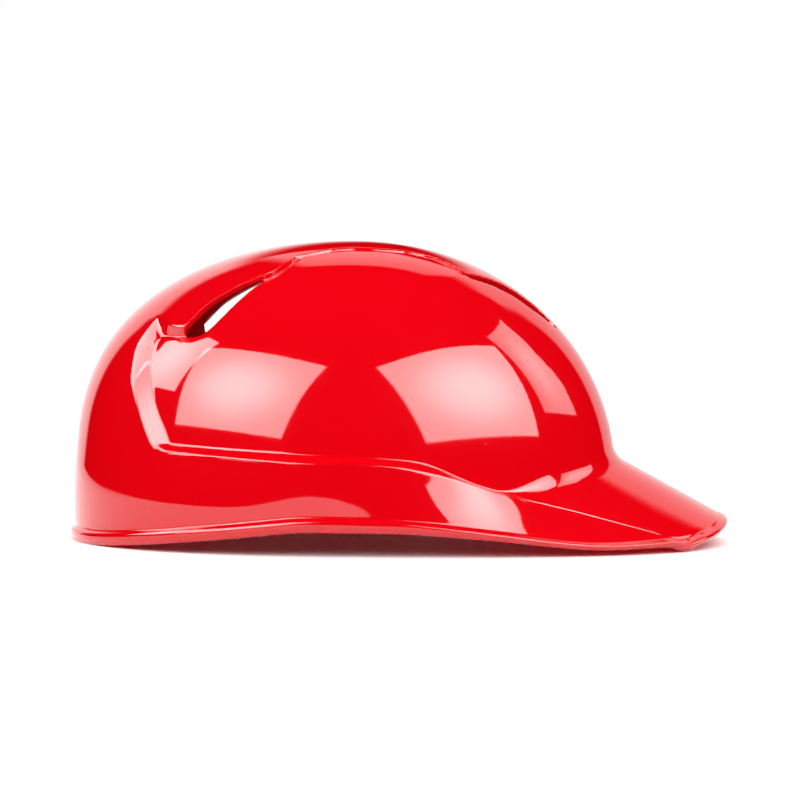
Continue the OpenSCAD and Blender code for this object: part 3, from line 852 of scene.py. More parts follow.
def foam_face(cuts):
    """The foam's thickness at each point, with its cuts."""
    def face(x, y, deep):
        near = EDGE_ROUND - np.minimum(deep, EDGE_ROUND)
        z = LINER_T - EDGE_ROUND + np.sqrt(EDGE_ROUND ** 2 - near ** 2)
        for cut in cuts:
            z = z - CUT_DEEP * np.exp(-np.abs((x - cut) / CUT_WIDE) ** 3) * clamp01(deep / 2.5)
        return z
    return face


def foam_back(deep):
    near = BACK_ROUND - np.minimum(deep, BACK_ROUND)
    return BACK_ROUND - np.sqrt(BACK_ROUND ** 2 - near ** 2)


def foam_section(node, place, corner, cuts, mirrored=False):
    half, carry = place
    cuts = [c * half[0] for c in cuts]
    points, faces, _ = slab(half, corner, carry, foam_face(cuts), foam_back,
                            grid_lines(half[0], 2.6, cuts), grid_lines(half[1], 3.2))
    piece = new_piece(node + "_foam", points, faces, mirrored)
    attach(piece, "root")
    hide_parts(node)
    return piece


# Each has its place, the radius of its corners, and its cuts as shares of half its width.
side_place = on_wall(46, 137, 0.1, 0.62)
foam = [foam_section("front_liner", on_wall(-38, 38, 0.22, 0.66), 12.0, (-0.36, 0.36)),
        foam_section("left_liner", side_place, 12.0, (-0.5, 0.0, 0.5)),
        foam_section("right_liner", side_place, 12.0, (-0.5, 0.0, 0.5), mirrored=True),
        foam_section("rear_liner", on_wall(151, 209, 0.04, 0.58), 12.0, (-0.36, 0.36)),
        foam_section("crown_liner", under_crown(-58.3, 28.9, 39.8), 30.0, ())]
print("foam sections:", [(piece.name, len(piece.data.polygons)) for piece in foam])

# %% [markdown]
# The pads
#
# A pad is soft foam in a knitted cover. Its edge is closed with a narrow tape, with a
# row of stitches inside it, and the larger pads are quilted by stitches across.
# The cover could be sculpted, but the puckers along a seam are hard to invent. So its
# shape comes from cloth simulation: the cover is cut a little too large, sewn down
# (pinned) at its edge and its quilting lines, and blown up from inside. How far it may
# move is limited, which keeps it clear of its neighbours. A pad for the right side is
# the left one mirrored.

# %% The cushions before they are blown up
SEAM_H, SEAM_IN = 1.7, 2.2          # the cover's height at the seam, and the seam's distance in
RISE_EDGE, RISE_SEAM = 9, 7         # its full height is this far from the edge's seam or a cross seam


def pad_face(seams):
    """The height of the cover at each point, which crowns between the seams."""
    def face(x, y, deep):
        e = 1 - clamp01((deep - SEAM_IN) / RISE_EDGE)
        crown = np.sqrt(1 - e * e)
        for seam in seams:
            t = 1 - clamp01(np.abs(x - seam) / RISE_SEAM)
            crown = crown * (0.35 + 0.65 * np.sqrt(1 - t * t))
        return SEAM_H + (PAD_T - SEAM_H) * crown
    return face


def flat_back(deep):
    return 0.0 * deep


print("a pad's cover rises from", SEAM_H, "to", PAD_T, "mm before it is blown up")

# %% Blow up a cover
MOST_PUFF = 1.1                     # the farthest that the simulation may move a point, in millimetres
LAST_FRAME = 20


def blow_up(piece, pinned):
    """Runs Blender's cloth on the cover, and returns how far it moves at most, in millimetres."""
    group = piece.vertex_groups.new(name="sewn")
    group.add([int(i) for i in np.nonzero(pinned)[0]], 1.0, "REPLACE")
    start = np.array([v.co for v in piece.data.vertices])
    cloth = piece.modifiers.new("cover", "CLOTH")
    cloth.settings.quality = 5
    cloth.settings.mass = 0.02
    cloth.settings.tension_stiffness = cloth.settings.compression_stiffness = 8
    cloth.settings.bending_stiffness = 0.02
    cloth.settings.shrink_min = -0.05
    cloth.settings.use_pressure = True
    cloth.settings.uniform_pressure_force = 4
    cloth.settings.effector_weights.gravity = 0
    cloth.settings.vertex_group_mass = "sewn"
    cloth.collision_settings.use_collision = False
    cloth.point_cache.frame_start, cloth.point_cache.frame_end = 1, LAST_FRAME
    for number in range(1, LAST_FRAME + 1):
        bpy.context.scene.frame_set(number)
    solved = piece.evaluated_get(bpy.context.evaluated_depsgraph_get())
    moved = np.array([v.co for v in solved.data.vertices]) - start
    piece.modifiers.remove(cloth)
    bpy.context.scene.frame_set(1)
    length = np.linalg.norm(moved, axis=1, keepdims=True)
    limit = MOST_PUFF * MM
    moved *= limit * np.tanh(length / limit) / np.maximum(length, 1e-9)
    piece.data.vertices.foreach_set("co", (start + moved).ravel())
    piece.data.update()
    return float(np.linalg.norm(moved, axis=1).max()) / MM


print("a point of a cover may move up to", MOST_PUFF, "mm, within", LAST_FRAME, "frames")

# %% [markdown]
# The pad's edge is bound with a narrow tape. It is modelled as what shows of it: a
# slightly flattened tube that follows the edge. A curve with a round profile would look
# the same, but a mesh can be joined with the cover into one piece. The same path,
# further in, gives the stitches their places.

# %% The tape round the edge
TAPE_WIDE, TAPE_HIGH, TAPE_UP = 1.2, 1.35, 1.5    # half width and half height, and its middle's height


def edge_path(half, corner, step, inside):
    """Points along the edge of a rounded rectangle, each with its way out."""
    w, h, r = half[0] - inside, half[1] - inside, corner - inside
    count = max(4, round(1.57 * r / step))    # 1.57 r is the length of a corner's arc
    path = []
    for sx, sy, start in ((1, 1, 0), (-1, 1, 90), (-1, -1, 180), (1, -1, 270)):
        for k in range(count + 1):
            t = math.radians(start + 90 * k / count)
            path.append((sx * (w - r) + r * math.cos(t), sy * (h - r) + r * math.sin(t),
                         math.cos(t), math.sin(t)))
    out = []
    for (x0, y0, u0, v0), (x1, y1, u1, v1) in zip(path, path[1:] + path[:1]):
        pieces = max(1, round(math.hypot(x1 - x0, y1 - y0) / step))
        out += [(mix(x0, x1, k / pieces), mix(y0, y1, k / pieces), mix(u0, u1, k / pieces),
                 mix(v0, v1, k / pieces)) for k in range(pieces)]
    return np.array(out)


def edge_tape(half, corner, carry):
    """The tape that closes the pad's edge: a closed tube a little flatter than round."""
    path = edge_path(half, corner, 2.0, 1.3)
    turn = np.radians(np.arange(0, 360, 36))
    x = path[:, 0, None] + path[:, 2, None] * TAPE_WIDE * np.cos(turn)
    y = path[:, 1, None] + path[:, 3, None] * TAPE_WIDE * np.cos(turn)
    z = TAPE_UP + TAPE_HIGH * np.sin(turn) + 0 * x
    n, m = x.shape
    faces = [(i * m + k, i * m + (k + 1) % m, (i + 1) % n * m + (k + 1) % m, (i + 1) % n * m + k)
             for i in range(n) for k in range(m)]
    return carry(x.ravel(), y.ravel(), z.ravel()), faces


print("points along the edge of a pad 40 by 30 mm:", len(edge_path((20.0, 15.0), 9.0, 2.0, 1.3)))

# %% [markdown]
# A stitch is a small rounded bar of thread. It has to lie on the cover wherever the
# cloth has moved it, so a ray is shot at the cover from the head's side, and the bar is
# laid where it hits, along the seam. A pattern in the material would be flat, and
# stitches show best by the light on their backs.

# %% The stitches
STITCH_LONG, STITCH_THICK, STITCH_STEP = 2.2, 0.3, 3.4
STITCH_IN, SEAM_SHORT = 1.3, 5      # distance inside the edge's seam, and gap at a cross seam's end
RAY_FROM = 12.0                     # the ray starts this far above the pad's back
BAR_SIDES = 6
BAR_RINGS = ((-1, 0.35), (-0.8, 0.85), (0, 1), (0.8, 0.85), (1, 0.35))    # place along, and thickness


def stitch_rows(half, corner, seams):
    """Flat places and ways along of the stitches: one row round the edge, one on each seam."""
    path = edge_path(half, corner, STITCH_STEP, SEAM_IN + STITCH_IN)
    spots = [(x, y, -v, u) for x, y, u, v in path]
    for seam in seams:
        long = half[1] - SEAM_IN - SEAM_SHORT
        count = int(2 * long / STITCH_STEP)
        spots += [(seam, long * (2 * k / count - 1), 0.0, 1.0) for k in range(count + 1)]
    return spots


def stitches(spots, carry, cover):
    """Small rounded bars that lie on the cover."""
    def place(x, y, z):
        return Vector(carry(np.array([x]), np.array([y]), np.array([z]))[0]) * MM

    tree = BVHTree.FromPolygons([v.co.copy() for v in cover.data.vertices],
                                [tuple(p.vertices) for p in cover.data.polygons])
    points, faces = [], []
    for x, y, u, v in spots:
        above, below = place(x, y, RAY_FROM), place(x, y, 0.0)
        hit, normal, _, _ = tree.ray_cast(above, (below - above).normalized())
        if hit is None:
            continue
        along = (place(x + u, y + v, 0.0) - below).normalized()
        along = (along - normal * along.dot(normal)).normalized()
        aside, base = normal.cross(along), len(points)
        for s, wide in BAR_RINGS:
            for k in range(BAR_SIDES):
                t = math.radians(360 / BAR_SIDES * k)
                offset = (aside * math.cos(t) + normal * math.sin(t)) * wide * STITCH_THICK
                points.append((hit + (along * s * STITCH_LONG / 2 + offset) * MM) / MM)
        last = base + (len(BAR_RINGS) - 1) * BAR_SIDES
        for ring in range(base, last, BAR_SIDES):
            for k in range(BAR_SIDES):
                a, b = ring + k, ring + (k + 1) % BAR_SIDES
                faces.append((a, b, b + BAR_SIDES, a + BAR_SIDES))
        faces += [tuple(base + k for k in range(BAR_SIDES)),
                  tuple(last + k for k in reversed(range(BAR_SIDES)))]
    return np.array(points), faces


print("stitches on a pad 40 by 30 mm with one seam:", len(stitch_rows((20.0, 15.0), 9.0, (0.0,))))

# %% [markdown]
# A finished pad is one piece with three materials: the cover after one subdivision, the
# tape and the stitches.

# %% The pads


def joined(name, parts, mirrored):
    """One object from several (points, faces) parts. Part number k gets material number k."""
    points, faces, numbers = [], [], []
    for number, (part_points, part_faces) in enumerate(parts):
        faces += [tuple(i + len(points) for i in f) for f in part_faces]
        numbers += [number] * len(part_faces)
        points += [tuple(p) for p in part_points]
    piece = new_piece(name, points, faces, mirrored)
    piece.data.polygons.foreach_set("material_index", numbers)
    return piece


def smoothed(piece):
    """The points and faces after one round of subdivision, in millimetres."""
    piece.modifiers.new("smooth", "SUBSURF").levels = 1
    solved = piece.evaluated_get(bpy.context.evaluated_depsgraph_get())
    return ([tuple(v.co / MM) for v in solved.data.vertices],
            [tuple(p.vertices) for p in solved.data.polygons])


def pad(nodes, place, corner, seams, fill):
    """The pad for one node, or for a left node and its mirror image on the right."""
    half, carry = place
    seams = [s * half[0] for s in seams]
    points, faces, (x, _, deep, on_face) = slab(
        half, corner, carry, pad_face(seams), flat_back,
        grid_lines(half[0], 2.4, seams), grid_lines(half[1], 2.4))
    cover = new_piece("cover", points, faces)
    sewn = ~on_face | (deep < SEAM_IN + 0.8)    # held: the back, the edge and just past its seam
    for seam in seams:
        sewn |= (np.abs(x - seam) < 0.3) & (deep > 2)
    far = blow_up(cover, sewn)
    parts = [smoothed(cover), edge_tape(half, corner, carry),
             stitches(stitch_rows(half, corner, seams), carry, cover)]
    bpy.data.objects.remove(cover)
    pieces = []
    for node, mirrored in zip(nodes, (False, True)):
        piece = joined(node + "_cushion", parts, mirrored)
        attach(piece, "root")
        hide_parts(node)
        pieces.append(piece)
    print(nodes[0], "faces:", len(pieces[0].data.polygons), " cover moved up to (mm):", round(far, 2))
    return pieces


# Each has its place, the radius of its corners, its cross seams as shares of half its
# width, and how tightly it is filled, from 0 for slack to 1 for tight.
pads = []
for nodes, place, corner, seams, fill in (
        (["brow_pad"], on_wall(-27, 27, 0.26, 0.5, STACK), 9.0, (-0.36, 0.36), 0.75),
        (["left_temple_pad", "right_temple_pad"], on_wall(50, 68, 0.18, 0.5, STACK), 9.0, (), 0.7),
        (["left_side_pad", "right_side_pad"], on_wall(80, 112, 0.16, 0.5, STACK), 10.0, (0.0,), 0.7),
        (["left_rear_pad", "right_rear_pad"], on_wall(155, 176, 0.1, 0.46, STACK), 9.0, (), 0.7),
        (["crown_pad"], under_crown(-50.2, 13.4, 26.1, STACK), 20.0, (-0.3, 0.3), 0.7)):
    pads += pad(nodes, place, corner, seams, fill)

# %% [markdown]
# The finishes
#
# Effects that several finishes share are node groups: a fine grain, a knitted surface,
# and the specks and hairlines that handling leaves. A group gives out only masks and
# heights. The shader itself stays in each material, with its constants on its own
# sockets. All patterns are solid ones, in object space, so they need no unwrapping
# and keep their size in millimetres on every piece. Painted images would need
# unwrapping, and they blur close up.

# %% Helpers for node groups


def new_group(name, inputs, outputs):
    group = bpy.data.node_groups.new(name, "ShaderNodeTree")
    for label, value in inputs:
        socket = group.interface.new_socket(name=label, in_out="INPUT", socket_type="NodeSocketFloat")
        socket.default_value = value
    for label in outputs:
        group.interface.new_socket(name=label, in_out="OUTPUT", socket_type="NodeSocketFloat")
    return group, group.nodes.new("NodeGroupInput"), group.nodes.new("NodeGroupOutput")


def map_range(tree, value, low, high, out_low, out_high):
    node = tree.nodes.new("ShaderNodeMapRange")
    node.interpolation_type = "SMOOTHSTEP"
    for name, number in zip(("From Min", "From Max", "To Min", "To Max"), (low, high, out_low, out_high)):
        if isinstance(number, (int, float)):
            node.inputs[name].default_value = number
        else:
            tree.links.new(number, node.inputs[name])
    tree.links.new(value, node.inputs["Value"])
    return node.outputs["Result"]


def math_node(tree, operation, a, b=0.0):
    node = tree.nodes.new("ShaderNodeMath")
    node.operation = operation
    for socket, value in zip(node.inputs, (a, b)):
        if isinstance(value, (int, float)):
            socket.default_value = value
        else:
            tree.links.new(value, socket)
    return node.outputs[0]


def millimetres(tree, size, stretch=(1, 1, 1)):
    """Object coordinates in which one unit is `size` millimetres."""
    coords = tree.nodes.new("ShaderNodeTexCoord")
    scaled = tree.nodes.new("ShaderNodeVectorMath")
    scaled.operation = "SCALE"
    tree.links.new(coords.outputs["Object"], scaled.inputs[0])
    tree.links.new(math_node(tree, "DIVIDE", 1000.0, size), scaled.inputs["Scale"])
    if stretch == (1, 1, 1):
        return scaled.outputs["Vector"]
    turned = tree.nodes.new("ShaderNodeMapping")
    turned.inputs["Rotation"].default_value = (0.35, 0.5, 0.2)
    turned.inputs["Scale"].default_value = stretch
    tree.links.new(scaled.outputs["Vector"], turned.inputs["Vector"])
    return turned.outputs["Vector"]


print("node groups so far:", len(bpy.data.node_groups))

# %% The fine grain: uneven tone and small pores, with painted shade in them


def make_grain():
    group, start, end = new_group("fine_grain", [("Size", 1.0), ("Pores", 0.5)], ["Height", "Tone And Shade"])
    place = millimetres(group, start.outputs["Size"])
    noise = group.nodes.new("ShaderNodeTexNoise")
    noise.inputs["Detail"].default_value = 3.0
    noise.inputs["Scale"].default_value = 1.0
    pores = group.nodes.new("ShaderNodeTexVoronoi")
    pores.inputs["Scale"].default_value = 1.3
    broad = group.nodes.new("ShaderNodeTexNoise")
    broad.inputs["Scale"].default_value = 0.06
    for node in (noise, pores, broad):
        group.links.new(place, node.inputs["Vector"])
    pit = map_range(group, pores.outputs["Distance"], 0.12, 0.4, -1.0, 0.0)
    pit = math_node(group, "MULTIPLY", pit, start.outputs["Pores"])
    height = math_node(group, "ADD", noise.outputs["Fac"], pit)
    # The broad part of the tone differs at random. The rest follows the height, so the pores and low places
    # are darker: painted shade.
    tone_and_shade = math_node(group, "ADD", math_node(group, "MULTIPLY", broad.outputs["Fac"], 0.6),
                     math_node(group, "MULTIPLY", height, 0.4))
    group.links.new(height, end.inputs["Height"])
    group.links.new(map_range(group, tone_and_shade, 0.2, 0.8, 0.0, 1.0), end.inputs["Tone And Shade"])
    return group


GRAIN = make_grain()
print("grain:", len(GRAIN.nodes), "nodes")

# %% The knitted surface: a lattice of loops
# Sums of cosine products repeat along all three axes, so a piece of any slope cuts
# through the lattice in rows of round loops. A little noise makes the yarn uneven.


def make_knit():
    group, start, end = new_group("knit", [("Loop Size", 1.2), ("Unevenness", 0.3)], ["Height", "Tone And Shade"])
    place = millimetres(group, start.outputs["Loop Size"])
    noise = group.nodes.new("ShaderNodeTexNoise")
    noise.inputs["Scale"].default_value = 0.9
    group.links.new(place, noise.inputs["Vector"])
    split = group.nodes.new("ShaderNodeSeparateXYZ")
    group.links.new(place, split.inputs[0])
    drift = math_node(group, "MULTIPLY", math_node(group, "SUBTRACT", noise.outputs["Fac"], 0.5),
                      math_node(group, "MULTIPLY", start.outputs["Unevenness"], 4.0))
    turns = [math_node(group, "MULTIPLY", axis, 6.2832) for axis in split.outputs]
    waves = [math_node(group, "COSINE", math_node(group, "ADD", turn, drift)) for turn in turns]
    pairs = [math_node(group, "MULTIPLY", waves[k], waves[(k + 1) % 3]) for k in range(3)]
    total = math_node(group, "ADD", math_node(group, "ADD", pairs[0], pairs[1]), pairs[2])
    loops = map_range(group, total, -0.8, 0.9, 0.0, 1.0)
    group.links.new(loops, end.inputs["Height"])
    # The tone follows the loops' height, so the yarn is darker between the loops: painted shade. The noise's
    # part differs at random.
    group.links.new(math_node(group, "ADD", math_node(group, "MULTIPLY", loops, 0.7),
                              math_node(group, "MULTIPLY", noise.outputs["Fac"], 0.3)), end.inputs["Tone And Shade"])
    return group


KNIT = make_knit()
print("knit:", len(KNIT.nodes), "nodes")

# %% Handling marks: specks of dust and hairlines


def make_marks():
    group, start, end = new_group("handling_marks", [("Cell", 9.0), ("Share", 0.2)], ["Specks", "Hairlines"])
    cells = group.nodes.new("ShaderNodeTexVoronoi")
    cells.inputs["Scale"].default_value = 1.0
    group.links.new(millimetres(group, start.outputs["Cell"]), cells.inputs["Vector"])
    shade = group.nodes.new("ShaderNodeSeparateColor")
    group.links.new(cells.outputs["Color"], shade.inputs[0])
    chosen = math_node(group, "LESS_THAN", shade.outputs["Red"], start.outputs["Share"])
    size = map_range(group, shade.outputs["Green"], 0.0, 1.0, 0.012, 0.034)
    core = math_node(group, "MULTIPLY", size, 0.6)
    speck = map_range(group, cells.outputs["Distance"], core, size, 1.0, 0.0)
    group.links.new(math_node(group, "MULTIPLY", speck, chosen), end.inputs["Specks"])
    lines = group.nodes.new("ShaderNodeTexVoronoi")
    lines.inputs["Scale"].default_value = 1.0
    group.links.new(millimetres(group, start.outputs["Cell"], (0.25, 2.2, 2.2)), lines.inputs["Vector"])
    tint = group.nodes.new("ShaderNodeSeparateColor")
    group.links.new(lines.outputs["Color"], tint.inputs[0])
    few = math_node(group, "MULTIPLY", start.outputs["Share"], 0.4)
    picked = math_node(group, "LESS_THAN", tint.outputs["Blue"], few)
    line = map_range(group, lines.outputs["Distance"], 0.012, 0.03, 1.0, 0.0)
    group.links.new(math_node(group, "MULTIPLY", line, picked), end.inputs["Hairlines"])
    return group


MARKS = make_marks()
print("marks:", len(MARKS.nodes), "nodes")

# %% Helpers for materials


def new_finish(name, roughness, **constants):
    material = bpy.data.materials.new(name)
    material.use_nodes = True
    shader = material.node_tree.nodes["Principled BSDF"]
    shader.inputs["Roughness"].default_value = roughness
    for label, value in constants.items():
        shader.inputs[label.replace("_", " ")].default_value = value
    return material, material.node_tree, shader


def use_group(tree, group, **values):
    node = tree.nodes.new("ShaderNodeGroup")
    node.node_tree = group
    for label, value in values.items():
        node.inputs[label.replace("_", " ")].default_value = value
    return node


def blend(tree, factor, dark, light):
    """A colour between two, by a mask. Either may be a colour or another blend."""
    node = tree.nodes.new("ShaderNodeMix")
    node.data_type = "RGBA"
    tree.links.new(factor, node.inputs[0])
    for socket, value in ((node.inputs[6], dark), (node.inputs[7], light)):
        if isinstance(value, tuple):
            socket.default_value = (*value, 1)
        else:
            tree.links.new(value, socket)
    return node.outputs[2]


def bump(tree, shader, height, distance_mm, strength=1.0):
    node = tree.nodes.new("ShaderNodeBump")
    node.inputs["Distance"].default_value = distance_mm / 1000
    node.inputs["Strength"].default_value = strength
    tree.links.new(height, node.inputs["Height"])
    tree.links.new(node.outputs["Normal"], shader.inputs["Normal"])


print("node groups to use:", [group.name for group in (GRAIN, KNIT, MARKS)])

# %% [markdown]
# The shell is moulded from coloured plastic with a polished face. Its gloss is high but
# not perfect: the face has a very slight waviness from the mould, some dust and a few
# hairlines. Inside, the mould isn't polished, so the same red is satin there.
#
# The inside is given a very weak red emission. It is a painted glow: it stands for light
# that comes through the thin wall, and keeps the inside a deep red where hardly any light gets in.

# %% Red plastic, polished outside and satin inside, with a painted glow inside
PAINTED_GLOW = 0.07


def gloss_red_plastic():
    material, tree, shader = new_finish("gloss_red_plastic", 0.045)
    wave = use_group(tree, GRAIN, Size=14.0, Pores=0.0)
    marks = use_group(tree, MARKS, Cell=9.0, Share=0.16)
    red = blend(tree, wave.outputs["Tone And Shade"], (0.85, 0.0006, 0.0055), (0.87, 0.001, 0.0065))
    dust = math_node(tree, "MULTIPLY", marks.outputs["Specks"], 0.5)
    tree.links.new(blend(tree, dust, red, (0.9, 0.3, 0.28)), shader.inputs["Base Color"])
    dull = math_node(tree, "ADD", math_node(tree, "MULTIPLY", marks.outputs["Specks"], 0.35),
                     math_node(tree, "MULTIPLY", marks.outputs["Hairlines"], 0.22))
    smudge = map_range(tree, wave.outputs["Tone And Shade"], 0.3, 1.0, 0.04, 0.055)
    tree.links.new(math_node(tree, "ADD", smudge, dull), shader.inputs["Roughness"])
    height = math_node(tree, "SUBTRACT", wave.outputs["Height"],
                       math_node(tree, "MULTIPLY", marks.outputs["Hairlines"], 0.6))
    bump(tree, shader, height, 0.012, 0.7)
    return material


def satin_red_plastic():
    material, tree, shader = new_finish("satin_red_inside", 0.42, Emission_Strength=PAINTED_GLOW)
    grain = use_group(tree, GRAIN, Size=0.9, Pores=0.2)
    red = blend(tree, grain.outputs["Tone And Shade"], (0.76, 0.0008, 0.006), (0.86, 0.0015, 0.009))
    tree.links.new(red, shader.inputs["Base Color"])
    # Painted glow: the inside's red also feeds a weak emission.
    tree.links.new(red, shader.inputs["Emission Color"])
    tree.links.new(map_range(tree, grain.outputs["Height"], 0.2, 0.8, 0.36, 0.5), shader.inputs["Roughness"])
    bump(tree, shader, grain.outputs["Height"], 0.05, 0.6)
    return material


polished_red, satin_red = gloss_red_plastic(), satin_red_plastic()
print("the shell's finishes:", polished_red.name, satin_red.name)

# %% [markdown]
# The foam is closed-cell sheet: matt, nearly black, with fine pores. The covers are a
# black knit with a soft sheen, and the tape round their edge is a tighter knit. The
# thread is a little lighter, as polyester is. The discs keep their CAD shape: a hook
# disc is a field of tiny stiff hooks, and a loop disc is a felt of loose loops.

# %% Foam, fabric and thread


def foam_sheet():
    material, tree, shader = new_finish("closed_cell_foam", 0.82)
    grain = use_group(tree, GRAIN, Size=0.8, Pores=0.9)
    marks = use_group(tree, MARKS, Cell=7.0, Share=0.25)
    # The foam's colour follows the grain's tone, so its pores are darker: painted shade.
    tone_and_shade = blend(tree, grain.outputs["Tone And Shade"], (0.035, 0.035, 0.038), (0.075, 0.075, 0.08))
    lint = math_node(tree, "MULTIPLY", marks.outputs["Specks"], 0.6)
    tree.links.new(blend(tree, lint, tone_and_shade, (0.25, 0.25, 0.25)), shader.inputs["Base Color"])
    tree.links.new(map_range(tree, grain.outputs["Height"], 0.0, 0.8, 0.9, 0.72), shader.inputs["Roughness"])
    bump(tree, shader, grain.outputs["Height"], 0.18)
    return material


def fabric(name, dark, light, loop, depth, sheen):
    material, tree, shader = new_finish(name, 0.85, Sheen_Weight=sheen, Sheen_Roughness=0.5)
    knit = use_group(tree, KNIT, Loop_Size=loop, Unevenness=0.25)
    grain = use_group(tree, GRAIN, Size=2.0, Pores=0.0)
    # The yarn's colour follows the knit's tone, so it is darker between the loops: painted shade.
    yarn = blend(tree, knit.outputs["Tone And Shade"], dark, light)
    worn = math_node(tree, "MULTIPLY", grain.outputs["Tone And Shade"], 0.25)
    tree.links.new(blend(tree, worn, yarn, tuple(1.6 * v for v in light)), shader.inputs["Base Color"])
    tree.links.new(map_range(tree, knit.outputs["Height"], 0.0, 1.0, 0.95, 0.72), shader.inputs["Roughness"])
    bump(tree, shader, knit.outputs["Height"], depth)
    return material


def hook_tape():
    material, tree, shader = new_finish("hook_tape", 0.5)
    hooks = use_group(tree, KNIT, Loop_Size=1.6, Unevenness=0.05)
    # The colour follows the height: the low places between the hooks are darker, which is painted shade.
    tree.links.new(blend(tree, hooks.outputs["Height"], (0.012, 0.012, 0.012), (0.06, 0.06, 0.06)),
                   shader.inputs["Base Color"])
    tree.links.new(map_range(tree, hooks.outputs["Height"], 0.3, 0.8, 0.7, 0.4), shader.inputs["Roughness"])
    bump(tree, shader, hooks.outputs["Height"], 0.6)
    return material


foam_look = foam_sheet()
cover_knit = fabric("black_knit_cover", (0.008, 0.008, 0.009), (0.034, 0.034, 0.038), 1.5, 0.28, 0.25)
tape_knit = fabric("edge_tape_knit", (0.014, 0.014, 0.015), (0.045, 0.045, 0.05), 0.8, 0.12, 0.15)
thread = fabric("stitching_thread", (0.05, 0.05, 0.055), (0.12, 0.12, 0.13), 0.45, 0.05, 0.1)
hooks, loops = hook_tape(), fabric("loop_tape", (0.01, 0.01, 0.01), (0.045, 0.045, 0.045), 0.7, 0.35, 0.4)
print("soft finishes:", [look.name for look in (foam_look, cover_knit, tape_knit, thread, hooks, loops)])

# %% Give every piece its finish


def dress(piece, *materials):
    """Sets a piece's materials and keeps which face has which."""
    numbers = np.zeros(len(piece.data.polygons), np.int32)
    piece.data.polygons.foreach_get("material_index", numbers)
    piece.data.materials.clear()
    for material in materials:
        piece.data.materials.append(material)
    piece.data.polygons.foreach_set("material_index", numbers)


dress(shell, polished_red, satin_red)
for piece in foam:
    dress(piece, foam_look)
for piece in pads:
    dress(piece, cover_knit, tape_knit, thread)
dress(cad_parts["hook_discs"], hooks)
dress(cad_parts["loop_discs"], loops)
print("finishes:", len(bpy.data.materials))

# %% [markdown]
# The camera
#
# The photo is taken almost level, from the wearer's right, with the cap filling four
# fifths of the frame. The camera's roll of half a degree is measured from the rim's
# two resting ends. A long lens from far away gives the flat perspective of the photo.

# %% The camera
DISTANCE, ELEVATION, ROLL, AIM_Z = 1.4, math.radians(2.5), math.radians(0.46), 0.0622


def place_camera():
    data = bpy.data.cameras.new("camera")
    data.sensor_width, data.lens = 36.0, 140.0
    data.clip_start, data.clip_end = 0.01, 200
    camera = bpy.data.objects.new("camera", data)
    bpy.context.scene.collection.objects.link(camera)
    back_way = Vector((0, -math.cos(ELEVATION), math.sin(ELEVATION)))
    camera.location = Vector((0, 0, AIM_Z)) + back_way * DISTANCE
    camera.rotation_mode = "QUATERNION"
    camera.rotation_quaternion = Quaternion(-back_way, -ROLL) @ (-back_way).to_track_quat("-Z", "Y")
    bpy.context.scene.camera = camera
    return camera


print("camera at (m):", [round(v, 3) for v in place_camera().location])

# %% [markdown]
# The studio
#
# The gloss shows the studio: a large softbox on each side of the camera, a smaller
# one round each corner, a pale floor, and a white backdrop behind the cap. Where
# none of them is mirrored, the studio is dark and the plastic shows its own red.
# The boxes that the gloss mirrors light nothing else. Broad, soft lamps give the
# plain light in which a colour renders about as it is written. A picture of a studio
# could light the cap at once, but single boxes can be moved until each highlight lies
# where it should.

# %% A lamp that is aimed at the cap
LOOK_AT = Vector((0, -0.02, 0.07))


def way_to(azimuth, elevation):
    """A direction seen from the cap: azimuth 0 is towards the camera, 90 is over the bill."""
    a, e = math.radians(azimuth), math.radians(elevation)
    return Vector((math.sin(a) * math.cos(e), -math.cos(a) * math.cos(e), math.sin(e)))


def brighter_core(data, core):
    """Makes a lamp brighter in its middle and dimmer at its edge, as a real softbox is."""
    data.use_nodes = True
    tree = data.node_tree
    place = tree.nodes.new("ShaderNodeNewGeometry")
    middle = tree.nodes.new("ShaderNodeVectorMath")
    middle.operation = "SUBTRACT"
    middle.inputs[1].default_value = (0.5, 0.5, 0)
    split = tree.nodes.new("ShaderNodeSeparateXYZ")
    flat = tree.nodes.new("ShaderNodeCombineXYZ")
    far = tree.nodes.new("ShaderNodeVectorMath")
    far.operation = "LENGTH"
    fade = tree.nodes.new("ShaderNodeMapRange")
    fade.interpolation_type = "SMOOTHERSTEP"
    fade.inputs["From Min"].default_value = 0.0
    fade.inputs["From Max"].default_value = 0.62
    fade.inputs["To Min"].default_value = 1 + core
    fade.inputs["To Max"].default_value = 1 - core * 0.45
    tree.links.new(place.outputs["Parametric"], middle.inputs[0])
    tree.links.new(middle.outputs["Vector"], split.inputs[0])
    tree.links.new(split.outputs["X"], flat.inputs["X"])
    tree.links.new(split.outputs["Y"], flat.inputs["Y"])
    tree.links.new(flat.outputs["Vector"], far.inputs[0])
    tree.links.new(far.outputs["Value"], fade.inputs["Value"])
    tree.links.new(fade.outputs["Result"], tree.nodes["Emission"].inputs["Strength"])


def area_lamp(name, azimuth, elevation, distance, half_w, half_h, radiance, core=0.0, turn=0.0):
    """A rectangle whose half sizes are given as angles, with a brighter core if asked."""
    data = bpy.data.lights.new(name, "AREA")
    data.shape = "RECTANGLE"
    data.size = 2 * distance * math.tan(math.radians(half_w))
    data.size_y = 2 * distance * math.tan(math.radians(half_h))
    data.energy = radiance * math.pi * data.size * data.size_y
    lamp = bpy.data.objects.new(name, data)
    bpy.context.scene.collection.objects.link(lamp)
    away = way_to(azimuth, elevation)
    lamp.location = LOOK_AT + away * distance
    lamp.rotation_mode = "QUATERNION"
    lamp.rotation_quaternion = Quaternion(away, math.radians(turn)) @ away.to_track_quat("Z", "Y")
    lamp.visible_camera = False
    if core:
        brighter_core(data, core)
    return lamp


print("the way over the bill, from the cap:", [round(v, 2) for v in way_to(90, 0)])

